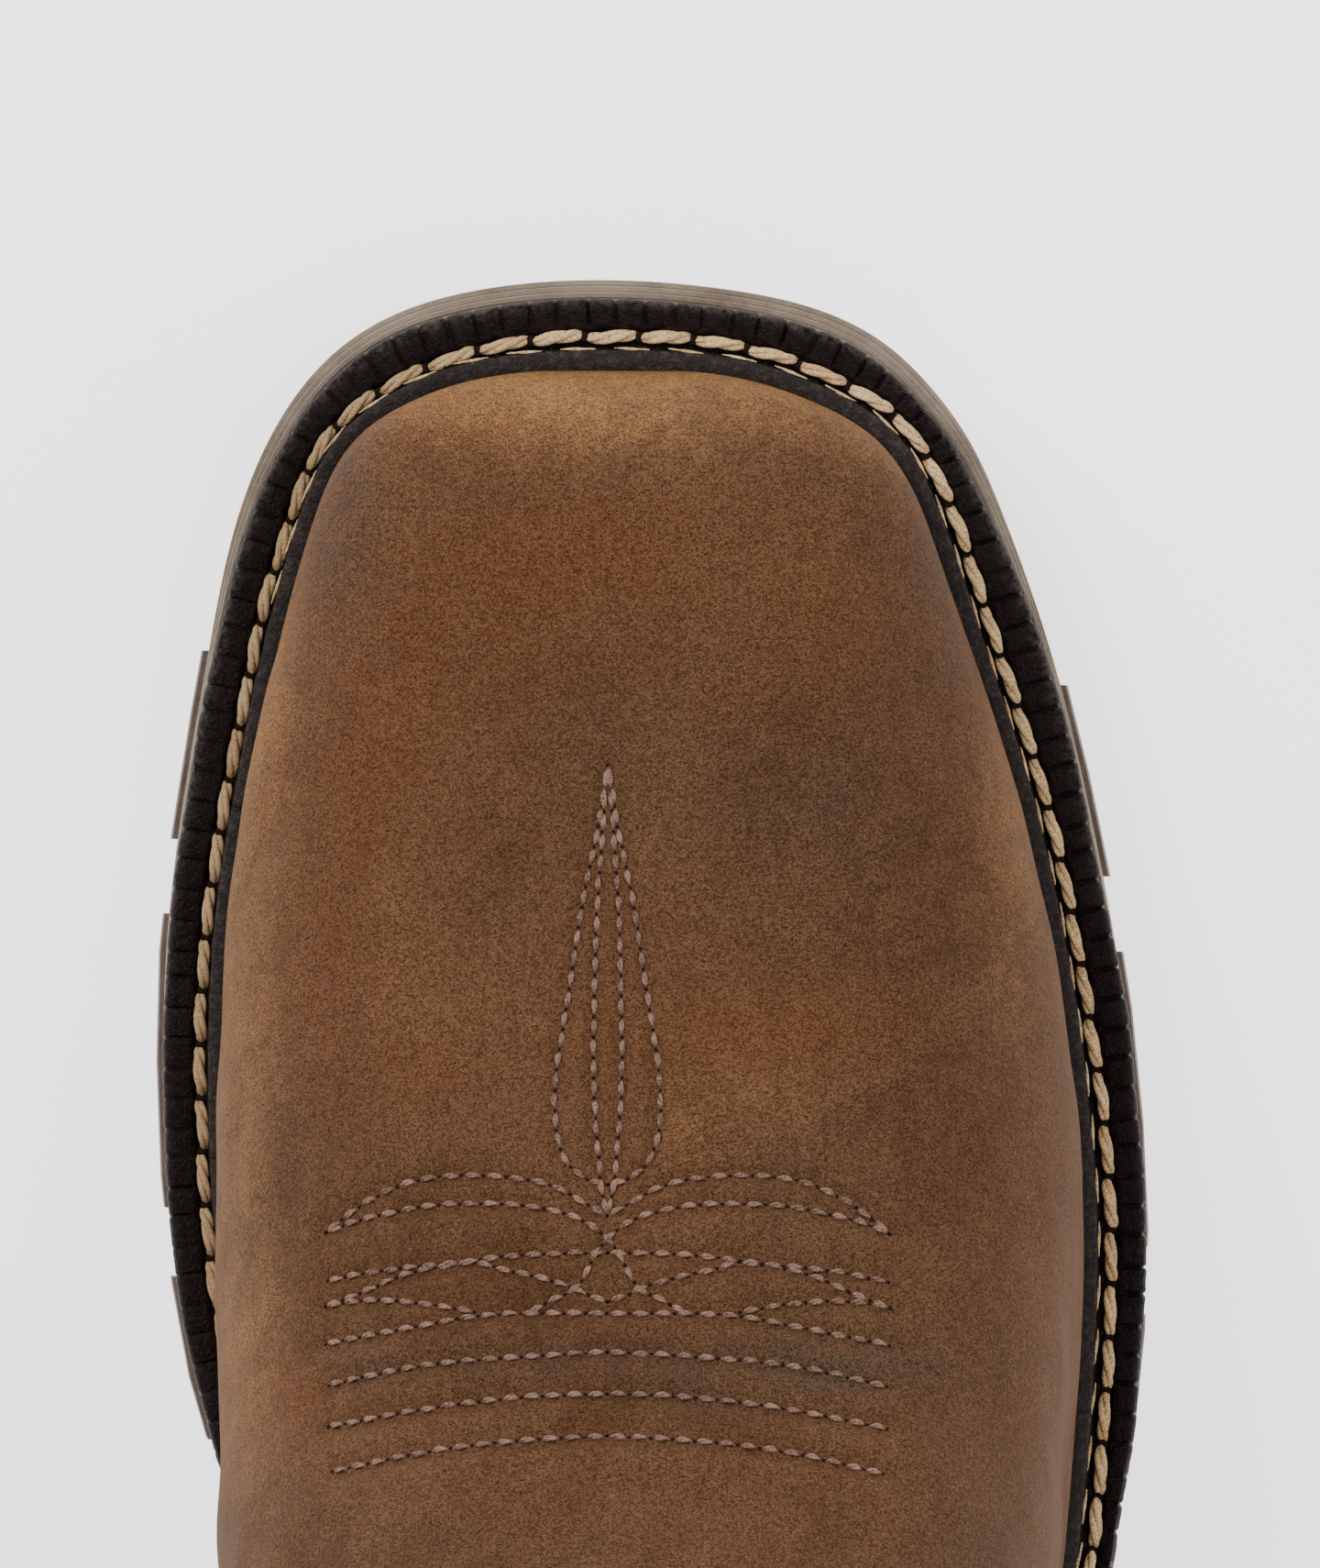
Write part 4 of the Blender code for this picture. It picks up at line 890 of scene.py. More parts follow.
def needle_holes(places: Array, radius: float, depth: float) -> tuple[Array, Array]:
    """Small dark dimples at needle holes, painted shade for the inside of each hole.

    Args:
        places: rows of point and normal.
        radius: radius of a hole.
        depth: how far its middle stands out of the surface.

    Returns:
        Corners and triangles.
    """
    normals = unit(places[:, 3:])
    side = unit(np.cross(normals, [0.31, 0.87, 0.12]))
    other = np.cross(normals, side)
    around = circle(8)
    rim = (
        places[:, None, :3]
        + side[:, None] * (np.cos(around) * radius)[None, :, None]
        + other[:, None] * (np.sin(around) * radius)[None, :, None]
        - normals[:, None] * depth
    )
    middle = places[:, None, :3] + normals[:, None] * depth
    points = np.concatenate([middle, rim], 1).reshape(-1, 3)
    fan = np.array([(0, 1 + i, 1 + (i + 1) % 8) for i in range(8)])
    faces = (np.arange(len(places))[:, None, None] * 9 + fan[None]).reshape(-1, 3)
    return points, faces


class Graph:
    """Short way to place shader nodes in a tree."""

    def __init__(self, tree: NodeTree) -> None:
        """Starts with a tree."""
        self.tree = tree

    def add(self, kind: str, settings: dict | None = None, **inputs: object) -> bpy.types.Node:
        """Adds a node.

        Args:
            kind: type name without the leading ShaderNode.
            settings: properties of the node.
            **inputs: socket values or sockets to link, by name with _ for a space.

        Returns:
            The node.
        """
        node = self.tree.nodes.new(kind if kind.startswith("Node") else "ShaderNode" + kind)
        for key, value in (settings or {}).items():
            setattr(node, key, value)
        for key, value in inputs.items():
            self.feed(node.inputs[key.replace("_", " ")], value)
        return node

    def feed(self, socket: Socket, value: object) -> None:
        """Links a socket or sets its value."""
        if isinstance(value, Socket):
            self.tree.links.new(value, socket)
        elif isinstance(value, tuple) and len(value) == 3 and socket.type == "RGBA":
            socket.default_value = (*value, 1)
        else:
            socket.default_value = value

    def math(self, operation: str, a: object, b: object = 0.0) -> Socket:
        """Arithmetic on two values."""
        node = self.add("Math", {"operation": operation})
        self.feed(node.inputs[0], a)
        self.feed(node.inputs[1], b)
        return node.outputs[0]

    def times(self, a: object, b: object) -> Socket:
        """Product of two values."""
        return self.math("MULTIPLY", a, b)

    def plus(self, a: object, b: object) -> Socket:
        """Sum of two values."""
        return self.math("ADD", a, b)

    def mix(self, factor: object, a: object, b: object, blend: str = "MIX") -> Socket:
        """Mixes two colours."""
        node = self.add("Mix", {"data_type": "RGBA", "blend_type": blend, "clamp_factor": True})
        self.feed(node.inputs[0], factor)
        self.feed(node.inputs[6], a)
        self.feed(node.inputs[7], b)
        return node.outputs[2]

    def ramp(self, value: object, low: float, high: float) -> Socket:
        """Smooth mask that rises from low to high."""
        node = self.add("MapRange", {"interpolation_type": "SMOOTHSTEP"})
        self.feed(node.inputs["Value"], value)
        self.feed(node.inputs["From Min"], low)
        self.feed(node.inputs["From Max"], high)
        return node.outputs["Result"]

    def noise(
        self, vector: object, size: object, detail: float = 3.0, rough: float = 0.5, warp: float = 0.0
    ) -> Socket:
        """Noise whose bumps are about size metres apart."""
        scale = self.math("DIVIDE", 1.0, size) if isinstance(size, Socket) else 1.0 / size
        look = {"Detail": detail, "Roughness": rough, "Distortion": warp}
        return self.add("TexNoise", Vector=vector, Scale=scale, **look).outputs["Fac"]

    def mask(self, name: str) -> Socket:
        """Value painted on the mesh."""
        return self.add("Attribute", {"attribute_name": name}).outputs["Fac"]

    def place(self) -> Socket:
        """Coordinates on the boot, in metres."""
        return self.add("TexCoord").outputs["Object"]

    def surface(
        self, color: object, rough: object, specular: float, height: object = None, **bump: float
    ) -> bpy.types.Node:
        """Sets the look of the tree's Principled shader.

        Args:
            color: base colour.
            rough: roughness.
            specular: strength of the reflections.
            height: relief, if there is any.
            **bump: Distance and Strength of the relief.

        Returns:
            The shader.
        """
        shader = self.tree.nodes["Principled BSDF"]
        self.feed(shader.inputs["Base Color"], color)
        self.feed(shader.inputs["Roughness"], rough)
        self.feed(shader.inputs["Specular IOR Level"], specular)
        if height is not None:
            self.feed(shader.inputs["Normal"], self.add("Bump", Height=height, **bump).outputs["Normal"])
        return shader


def new_group(
    name: str, inputs: dict[str, float], outputs: Sequence[str]
) -> tuple[NodeTree, Graph, dict, dict]:
    """Starts a shader node group of plain values.

    Args:
        name: name of the group.
        inputs: value of each input.
        outputs: name of each output.

    Returns:
        The group, its graph, its input sockets and its output sockets.
    """
    tree = bpy.data.node_groups.new(name, "ShaderNodeTree")
    for label, value in inputs.items():
        socket = tree.interface.new_socket(label, in_out="INPUT", socket_type="NodeSocketFloat")
        socket.default_value = value
    for label in outputs:
        tree.interface.new_socket(label, in_out="OUTPUT", socket_type="NodeSocketFloat")
    graph = Graph(tree)
    entry = graph.add("NodeGroupInput")
    leaving = graph.add("NodeGroupOutput")
    return tree, graph, {s.name: s for s in entry.outputs}, {s.name: s for s in leaving.inputs}


@dataclass(frozen=True)
class Effects:
    """Node groups that several materials share."""

    grain: NodeTree
    mottle: NodeTree
    dust: NodeTree

    @classmethod
    def build(cls) -> "Effects":
        """Makes the groups once."""
        return cls(cls.make_grain(), cls.make_mottle(), cls.make_dust())

    @staticmethod
    def make_grain() -> NodeTree:
        """Pebbled leather grain: height and the mask of its valleys."""
        sizes = {"Size": 0.0011, "Warp": 0.35}
        tree, graph, into, out = new_group("leather_grain", sizes, ("Height", "Valleys"))
        place = graph.place()
        scale = graph.math("DIVIDE", 1.0, into["Size"])
        bend = graph.add("TexNoise", Vector=place, Scale=700.0, Detail=2.0).outputs["Color"]
        shifted = graph.add("VectorMath", {"operation": "MULTIPLY_ADD"})
        graph.feed(shifted.inputs[0], bend)
        graph.feed(shifted.inputs[1], (0.0009, 0.0009, 0.0009))
        graph.feed(shifted.inputs[2], place)
        to_edge = {"feature": "DISTANCE_TO_EDGE"}
        cells = graph.add("TexVoronoi", to_edge, Vector=shifted.outputs[0], Scale=scale)
        valleys = graph.ramp(cells.outputs["Distance"], 0.22, 0.0)
        fine = graph.noise(place, 0.00032, 3.0, 0.6)
        broad = graph.noise(place, 0.0042, 3.0, 0.55)
        height = graph.times(graph.math("SUBTRACT", 1.0, valleys), 0.55)
        height = graph.plus(height, graph.times(fine, 0.45))
        height = graph.plus(height, graph.times(broad, into["Warp"]))
        graph.feed(out["Height"], height)
        graph.feed(out["Valleys"], valleys)
        return tree

    @staticmethod
    def make_mottle() -> NodeTree:
        """Uneven colour of oiled leather: broad clouds, patches, flecks and fine speckle."""
        masks = ("Clouds", "Patches", "Flecks", "Speckle", "Brushed")
        tree, graph, into, out = new_group("mottle", {"Size": 0.016, "Fleck": 0.0012}, masks)
        place = graph.place()
        brushed = graph.add("Mapping", Vector=place, Scale=(1.0, 0.45, 0.8)).outputs["Vector"]
        cloud = graph.noise(brushed, into["Size"], 7.0, 0.66, 0.4)
        graph.feed(out["Clouds"], graph.ramp(cloud, 0.34, 0.66))
        shifted = graph.add("Mapping", Vector=place, Location=(0.31, 0.17, 0.05)).outputs["Vector"]
        patch = graph.noise(shifted, graph.times(into["Size"], 0.45), 6.0, 0.7, 0.8)
        graph.feed(out["Patches"], graph.ramp(patch, 0.40, 0.66))
        fleck = graph.noise(place, into["Fleck"], 3.0, 0.72, 0.3)
        graph.feed(out["Flecks"], graph.ramp(fleck, 0.48, 0.72))
        nap = graph.add("TexVoronoi", Vector=place, Scale=graph.math("DIVIDE", 7.6, into["Fleck"]))
        graph.feed(out["Speckle"], graph.add("SeparateColor", Color=nap.outputs["Color"]).outputs[0])
        strokes = graph.add("Mapping", Vector=place, Scale=(1.0, 0.07, 0.3)).outputs["Vector"]
        graph.feed(out["Brushed"], graph.ramp(graph.noise(strokes, 0.0014, 3.0, 0.6), 0.40, 0.66))
        return tree

    @staticmethod
    def make_dust() -> NodeTree:
        """Dust that lies on upward faces and in patches."""
        tree, graph, into, out = new_group("dust", {"Size": 0.006, "Amount": 0.5}, ("Mask",))
        place = graph.place()
        patch = graph.ramp(graph.noise(place, into["Size"], 5.0, 0.7, 0.5), 0.38, 0.74)
        speck = graph.ramp(graph.noise(place, 0.0006, 2.0, 0.6), 0.42, 0.66)
        both = graph.plus(graph.times(patch, 0.7), graph.times(speck, 0.3))
        graph.feed(out["Mask"], graph.times(both, into["Amount"]))
        return tree


def start_material(name: str) -> tuple[Material, Graph]:
    """New material with a Principled shader, and its graph."""
    material = bpy.data.materials.new(name)
    material.use_nodes = True
    return material, Graph(material.node_tree)


@dataclass(frozen=True)
class OiledLeather:
    """Brown oiled nubuck, mottled, and pale along its edges from wear and from painted sheen."""

    name: str
    base: Color = (0.095, 0.0450, 0.0200)
    dark: Color = (0.049, 0.0218, 0.0090)
    red: Color = (0.118, 0.0375, 0.0115)
    pale: Color = (0.258, 0.1240, 0.0390)
    grey: Color = (0.056, 0.0385, 0.0250)
    speckle: tuple[Color, Color] = ((0.40, 0.28, 0.14), (1.62, 1.78, 2.10))
    cloud_share: float = 0.42
    fleck_share: float = 0.14
    brush_share: float = 0.14
    grain_size: float = 0.0009
    bump: float = 0.00007
    roughness: float = 0.66
    specular: float = 0.06

    def build(self, effects: Effects) -> Material:
        """Makes the material.

        Args:
            effects: shared node groups.

        Returns:
            The material; it reads the masks wear (wear and painted sheen), dark, red, soil and crease
            (painted shade in the stitch grooves) from the mesh.
        """
        material, graph = start_material(self.name)
        grain = graph.add("Group", {"node_tree": effects.grain}, Size=self.grain_size)
        mottle = graph.add("Group", {"node_tree": effects.mottle})
        clouds, patches = mottle.outputs["Clouds"], mottle.outputs["Patches"]
        flecks, speckle = mottle.outputs["Flecks"], mottle.outputs["Speckle"]
        wear, crease = graph.mask("wear"), graph.mask("crease")
        deep = graph.plus(graph.times(clouds, self.cloud_share), graph.mask("dark"))
        deep = graph.times(deep, graph.ramp(patches, -0.9, 1.0))
        color = graph.mix(deep, self.base, self.dark)
        rust = graph.plus(graph.times(patches, 0.22), graph.mask("red"))
        color = graph.mix(graph.times(rust, graph.ramp(flecks, -0.8, 0.8)), color, self.red)
        # Pale from the wear mask: wear, and painted sheen where the vamp and shaft masks carry it.
        ragged = graph.plus(wear, graph.times(flecks, 0.16))
        ragged = graph.math("SUBTRACT", ragged, graph.times(patches, 0.14))
        color = graph.mix(graph.times(graph.ramp(ragged, 0.02, 0.95), 0.9), color, self.pale)
        dirt = graph.times(graph.mask("soil"), graph.ramp(patches, -0.5, 0.9))
        color = graph.mix(dirt, color, self.grey)
        # Painted shade in the stitch grooves, from the crease mask.
        color = graph.mix(graph.times(crease, 0.6), color, self.dark)
        color = graph.mix(1.0, color, graph.mix(speckle, *self.speckle), "MULTIPLY")
        brushed, valleys = mottle.outputs["Brushed"], grain.outputs["Valleys"]
        for mask, share in ((flecks, self.fleck_share), (brushed, self.brush_share), (valleys, 0.06)):
            color = graph.mix(graph.times(mask, share), color, self.dark)
        rough = graph.plus(self.roughness, graph.times(speckle, 0.2))
        height = grain.outputs["Height"]
        graph.surface(color, rough, self.specular, height, Distance=self.bump, Strength=0.9)
        return material


@dataclass(frozen=True)
class ThreadFinish:
    """Twisted sewing thread with a fibre texture, painted highlights and painted shade along its
    strands, dust, and a darkening read from the soil mask.
    """

    name: str
    base: Color
    # light is also the painted highlight on the strands, and dark also their painted shade.
    light: Color
    dark: Color
    fibre: float = 0.00022

    def build(self, effects: Effects) -> Material:
        """Makes the material; it reads the masks tone and soil from the mesh."""
        material, graph = start_material(self.name)
        place = graph.place()
        tone = graph.mask("tone")
        fibres_and_shading = graph.noise(place, self.fibre, 3.0, 0.65)
        dust = graph.add("Group", {"node_tree": effects.dust}, Size=0.004, Amount=0.8)
        color = graph.mix(graph.times(tone, 0.5), self.base, self.light)
        # Painted highlights on the strands and painted shade between them, from the fibre noise.
        color = graph.mix(graph.ramp(fibres_and_shading, 0.50, 0.68), color, self.light)
        color = graph.mix(graph.times(graph.ramp(fibres_and_shading, 0.50, 0.32), 0.8), color, self.dark)
        color = graph.mix(graph.times(dust.outputs["Mask"], 0.35), color, self.dark)
        color = graph.mix(graph.mask("soil"), color, self.dark)
        graph.surface(color, 0.7, 0.2, fibres_and_shading, Distance=0.00012, Strength=0.8)
        return material


@dataclass(frozen=True)
class WeltFinish:
    """Black welt leather, scuffed grey along its edges and notches."""

    name: str = "welt_leather"
    base: Color = (0.0058, 0.0030, 0.0027)
    dust_tone: Color = (0.060, 0.046, 0.041)
    bead: Color = (0.0200, 0.0158, 0.0148)

    def build(self, effects: Effects) -> Material:
        """Makes the material; it reads the masks wear and bead from the mesh."""
        material, graph = start_material(self.name)
        wear, bead = graph.mask("wear"), graph.mask("bead")
        grain = graph.add("Group", {"node_tree": effects.grain}, Size=0.0007)
        dust = graph.add("Group", {"node_tree": effects.dust}, Size=0.0035, Amount=1.0)
        speck = graph.noise(graph.place(), 0.0009, 4.0, 0.7)
        color = graph.mix(bead, self.base, self.bead)
        scuff = graph.times(wear, graph.ramp(speck, 0.38, 0.66))
        scuff = graph.plus(scuff, graph.times(dust.outputs["Mask"], 0.10))
        specks = graph.times(bead, graph.ramp(speck, 0.50, 0.66))
        scuff = graph.plus(scuff, graph.times(specks, 0.5))
        color = graph.mix(scuff, color, self.dust_tone)
        rough = graph.plus(0.46, graph.times(scuff, 0.35))
        graph.surface(color, rough, 0.07, grain.outputs["Height"], Distance=0.00012, Strength=0.9)
        return material


@dataclass(frozen=True)
class RubberFinish:
    """Matt rubber with fine pits and dust."""

    name: str
    base: Color
    dust_tone: Color
    dark: Color
    amount: float = 0.5

    def build(self, effects: Effects) -> Material:
        """Makes the material."""
        material, graph = start_material(self.name)
        place = graph.place()
        dust = graph.add("Group", {"node_tree": effects.dust}, Size=0.005, Amount=self.amount)
        clouds = graph.ramp(graph.noise(place, 0.012, 5.0, 0.6), 0.35, 0.7)
        pits = graph.noise(place, 0.0005, 3.0, 0.6)
        color = graph.mix(clouds, self.base, self.dark)
        color = graph.mix(dust.outputs["Mask"], color, self.dust_tone)
        rough = graph.plus(0.58, graph.times(pits, 0.25))
        graph.surface(color, rough, 0.2, pits, Distance=0.00012, Strength=0.7)
        return material


@dataclass(frozen=True)
class LiningFinish:
    """Pale vegetable-tanned leather of lining and insole."""

    name: str
    base: Color = (0.34, 0.185, 0.085)
    dark: Color = (0.22, 0.110, 0.048)

    def build(self, effects: Effects) -> Material:
        """Makes the material."""
        material, graph = start_material(self.name)
        grain = graph.add("Group", {"node_tree": effects.grain}, Size=0.0008)
        mottle = graph.add("Group", {"node_tree": effects.mottle}, Size=0.03)
        color = graph.mix(mottle.outputs["Clouds"], self.base, self.dark)
        color = graph.mix(graph.times(mottle.outputs["Flecks"], 0.3), color, self.dark)
        graph.surface(color, 0.8, 0.2, grain.outputs["Height"], Distance=0.00012, Strength=0.7)
        return material


@dataclass(frozen=True)
class HoleShade:
    """Near-black painted shade for the inside of needle holes."""

    name: str = "needle_hole_shade"
    base: Color = (0.007, 0.0035, 0.0022)

    def build(self, effects: Effects) -> Material:
        """Makes the material, with a little unevenness."""
        material, graph = start_material(self.name)
        uneven = graph.noise(graph.place(), 0.0008)
        color = graph.mix(uneven, self.base, tuple(2.2 * value for value in self.base))
        graph.surface(color, 0.9, 0.1)
        return material


@dataclass(frozen=True)
class Wardrobe:
    """Every material of the boot."""

    vamp: Material
    shaft: Material
    trim: Material
    welt: Material
    fancy_thread: Material
    cord_thread: Material
    hole: Material
    midsole: Material
    outsole: Material
    lining: Material
    insole: Material

    @classmethod
    def build(cls) -> "Wardrobe":
        """Makes the shared node groups, then the materials."""
        trim = OiledLeather(
            "trim_leather",
            base=(0.060, 0.0250, 0.0100),
            dark=(0.032, 0.0130, 0.0050),
            red=(0.075, 0.0230, 0.0070),
            pale=(0.190, 0.0840, 0.0320),
            roughness=0.48,
        )
        # Thread colours: base, light (painted highlight) and dark (painted shade, and the tone of dust
        # and of the soil mask).
        dusty_mauve = ((0.135, 0.074, 0.053), (0.340, 0.210, 0.150), (0.045, 0.023, 0.016))
        cream = ((0.52, 0.330, 0.155), (0.88, 0.64, 0.35), (0.16, 0.092, 0.048))
        taupe = ((0.255, 0.200, 0.150), (0.36, 0.295, 0.225), (0.165, 0.122, 0.090))
        brown = ((0.118, 0.080, 0.064), (0.20, 0.150, 0.120), (0.075, 0.050, 0.040))
        finishes = {
            "vamp": OiledLeather("vamp_leather"),
            "shaft": OiledLeather("shaft_leather", bump=0.00014),
            "trim": trim,
            "welt": WeltFinish(),
            "fancy_thread": ThreadFinish("fancy_thread", *dusty_mauve),
            "cord_thread": ThreadFinish("cord_thread", *cream, 0.00026),
            "hole": HoleShade(),
            "midsole": RubberFinish("midsole_rubber", *taupe),
            "outsole": RubberFinish("outsole_rubber", *brown),
            "lining": LiningFinish("lining_leather"),
            "insole": LiningFinish("insole_leather", (0.28, 0.150, 0.070), (0.18, 0.090, 0.040)),
        }
        effects = Effects.build()
        return cls(**{key: finish.build(effects) for key, finish in finishes.items()})


@dataclass
class Seams:
    """Collects stitches of one thread and makes them one piece."""

    name: str
    stitch: Stitch
    hole_radius: float
    thread: str = "fancy_thread"
    inner_darkening: float = 0.0

    def __post_init__(self) -> None:
        """Starts with no stitches."""
        self.stitches: list[tuple[Array, Array, Array]] = []
        self.holes: list[Array] = []

    def run(
        self, line: Array, normals: Array, pitch: float = TRIM_PITCH, seen: Callable | None = None
    ) -> None:
        """Sews along a line.

        Args:
            line: points along the seam.
            normals: outward directions at those points.
            pitch: distance from stitch to stitch.
            seen: says which places are sewn; all of them if it isn't given.
        """
        centres, along, normal, holes = sew(line, normals, pitch)
        if seen:
            kept = seen(centres)
            centres, along, normal, holes = centres[kept], along[kept], normal[kept], holes[seen(holes)]
        self.stitches.append((centres, along, normal))
        self.holes.append(holes)

    def build(self, wardrobe: Wardrobe, finish: Finish) -> None:
        """Makes the thread and the painted shade of its needle holes."""
        centres, along, normals = (np.vstack(part) for part in zip(*self.stitches))
        points, faces, tone = self.stitch.mesh(centres, along, normals)
        # Darker towards the boot's inner side, carried in the soil mask.
        soil = self.inner_darkening * smoothstep(-points[:, 0] / 0.03)
        piece = make_mesh(self.name, points, faces, {"tone": tone, "soil": soil})
        publish(piece, finish, getattr(wardrobe, self.thread))
        places = np.vstack(self.holes)
        points, faces = needle_holes(places, self.hole_radius, self.hole_radius * 0.22)
        publish(make_mesh(self.name + "_holes", points, faces), finish, wardrobe.hole)


@dataclass
class Vamp:
    """Foot part of the upper with its toe stitch."""

    last: Last
    toe_rows: int = 255
    fan_rows: int = 90
    columns: int = 124
    thickness: float = 0.0012
    groove_depth: float = 0.00042
    groove_width: float = 0.00085
    puff: float = 0.00028
    puff_reach: float = 0.0062
    bulge: float = 0.00038
    stitch_pitch: float = 0.0024

    @cached_property
    def skin(self) -> Skin:
        """Outer face before it is sewn."""
        toe = self.last.toe_rows(self.toe_rows, self.columns)
        places = np.linspace(0, self.last.vamp_edge, self.fan_rows + 1)[1:]
        return Skin(np.vstack([toe, self.last.fan_rows(places, self.columns)]))

    @cached_property
    def routes(self) -> list[Array]:
        """Toe stitch in plan, as dense lines in metres."""
        made = []
        for route in TOE_STITCH.values():
            line = smooth_curve(np.array(route) * MM, closed=False, count=240)
            made += [line, line * [-1, 1]]
        return made

    def stitch_distance(self) -> Array:
        """Distance in plan of each point of the skin from the nearest stitch line."""
        plan = self.skin.rows[..., :2].reshape(-1, 2)
        near = (np.abs(plan[:, 0]) < 0.042) & (plan[:, 1] > 0.165) & (plan[:, 1] < 0.258)
        distance = np.full(len(plan), 1.0)
        lines = np.vstack([resample(line, 140) for line in self.routes])
        inside = plan[near]
        best = np.full(len(inside), 1.0)
        for start in range(0, len(lines), 200):
            block = lines[start : start + 200]
            gap = np.linalg.norm(inside[:, None] - block[None], axis=2).min(axis=1)
            best = np.minimum(best, gap)
        distance[near] = best
        return distance.reshape(self.skin.rows.shape[:2])

    def relief(self, distance: Array) -> Array:
        """How far sewing and wear move each point out of the skin."""
        rows = self.skin.rows
        top = smoothstep((self.skin.normals[..., 2] - 0.25) / 0.4)
        groove = -self.groove_depth * np.exp(-((distance / self.groove_width) ** 2))
        away = distance / self.puff_reach
        cushion = self.puff * (1 - np.exp(-((distance / 0.0019) ** 2))) * np.exp(-(away**2))
        uneven = 0.00028 * ripple(rows, 0.030, 3) + 0.00012 * ripple(rows, 0.011, 4)
        low = rows[..., 2] - self.last.feather(rows[..., 1])
        outer, behind = smoothstep(rows[..., 0] / 0.03), smoothstep((0.29 - rows[..., 1]) / 0.03)
        bulge = smoothstep((low - 0.002) / 0.004) * smoothstep((0.024 - low) / 0.014)
        bulge = self.bulge * bulge * outer * behind
        return (groove + cushion) * top + uneven * smoothstep((low - 0.006) / 0.012) + bulge

    def masks(self, distance: Array) -> dict[str, Array]:
        """Uneven colour over the vamp: charted tones, a pale rim that is partly wear and partly painted
        sheen, and painted shade along the stitch grooves.
        """
        rows, normals = self.skin.rows, self.skin.normals
        masks = tone_masks(rows, VAMP_TONES)
        low = rows[..., 2] - self.last.feather(rows[..., 1])
        # Pale on the steep sides and along the rolled lower edge: partly wear, partly painted sheen.
        side = smoothstep((0.62 - normals[..., 2]) / 0.6)
        masks["wear"] += 0.06 * side + 0.12 * np.exp(-(((low - 0.0105) / 0.006) ** 2))
        masks["soil"] += np.clip(0.25 * ripple(rows, 0.030, 11), 0, 1)
        # Painted shade along the stitch grooves.
        masks["crease"] = np.exp(-((distance / 0.0008) ** 2)) * 0.5
        return masks

    def build(self, wardrobe: Wardrobe) -> None:
        """Makes the vamp and its toe stitch."""
        distance = self.stitch_distance()
        outside = self.skin.moved(self.relief(distance))
        masks = self.masks(distance)
        places = self.last.vamp_edge + np.array([-0.02, -0.001, 0.002, 0.0035])
        edge = Skin(self.last.fan_rows(places, self.columns))
        depths = [(0.00025, 3), (0.0008, 3)] + [(self.thickness, row) for row in (2, 1, 0)]
        fold = [edge.moved(-depth)[row] for depth, row in depths]
        rows = np.vstack([outside, np.array(fold)])
        faces = grid_quads(*rows.shape[:2])
        for key, value in masks.items():
            masks[key] = np.vstack([value, np.repeat(value[-1:], len(fold), 0)])
        masks["wear"][len(outside) - 2 :] = 0.75
        piece = make_mesh("vamp", rows.reshape(-1, 3), faces[:, ::-1], masks)
        publish(piece, Finish.UPPER, wardrobe.vamp, "upper")
        self.sew_toe(surface_of(outside), wardrobe)

    def sew_toe(self, surface: BVHTree, wardrobe: Wardrobe) -> None:
        """Lays the toe stitch on the sewn surface."""
        form = Stitch(0.00192, 0.00072, turns=0.6, rings=9, sides=6, rise=0.30, dive=0.8)
        seams = Seams("toe_stitch", form, 0.00047)
        for route in self.routes:
            line = []
            normals = []
            for x, y in resample(route, 90):
                hit = surface.ray_cast(Vector((x, y, 0.3)), Vector((0, 0, -1)))
                line.append(hit[0])
                normals.append(hit[1] if hit[1].z > 0 else -hit[1])
            seams.run(np.array(line), np.array(normals), self.stitch_pitch)
        seams.build(wardrobe, Finish.UPPER)


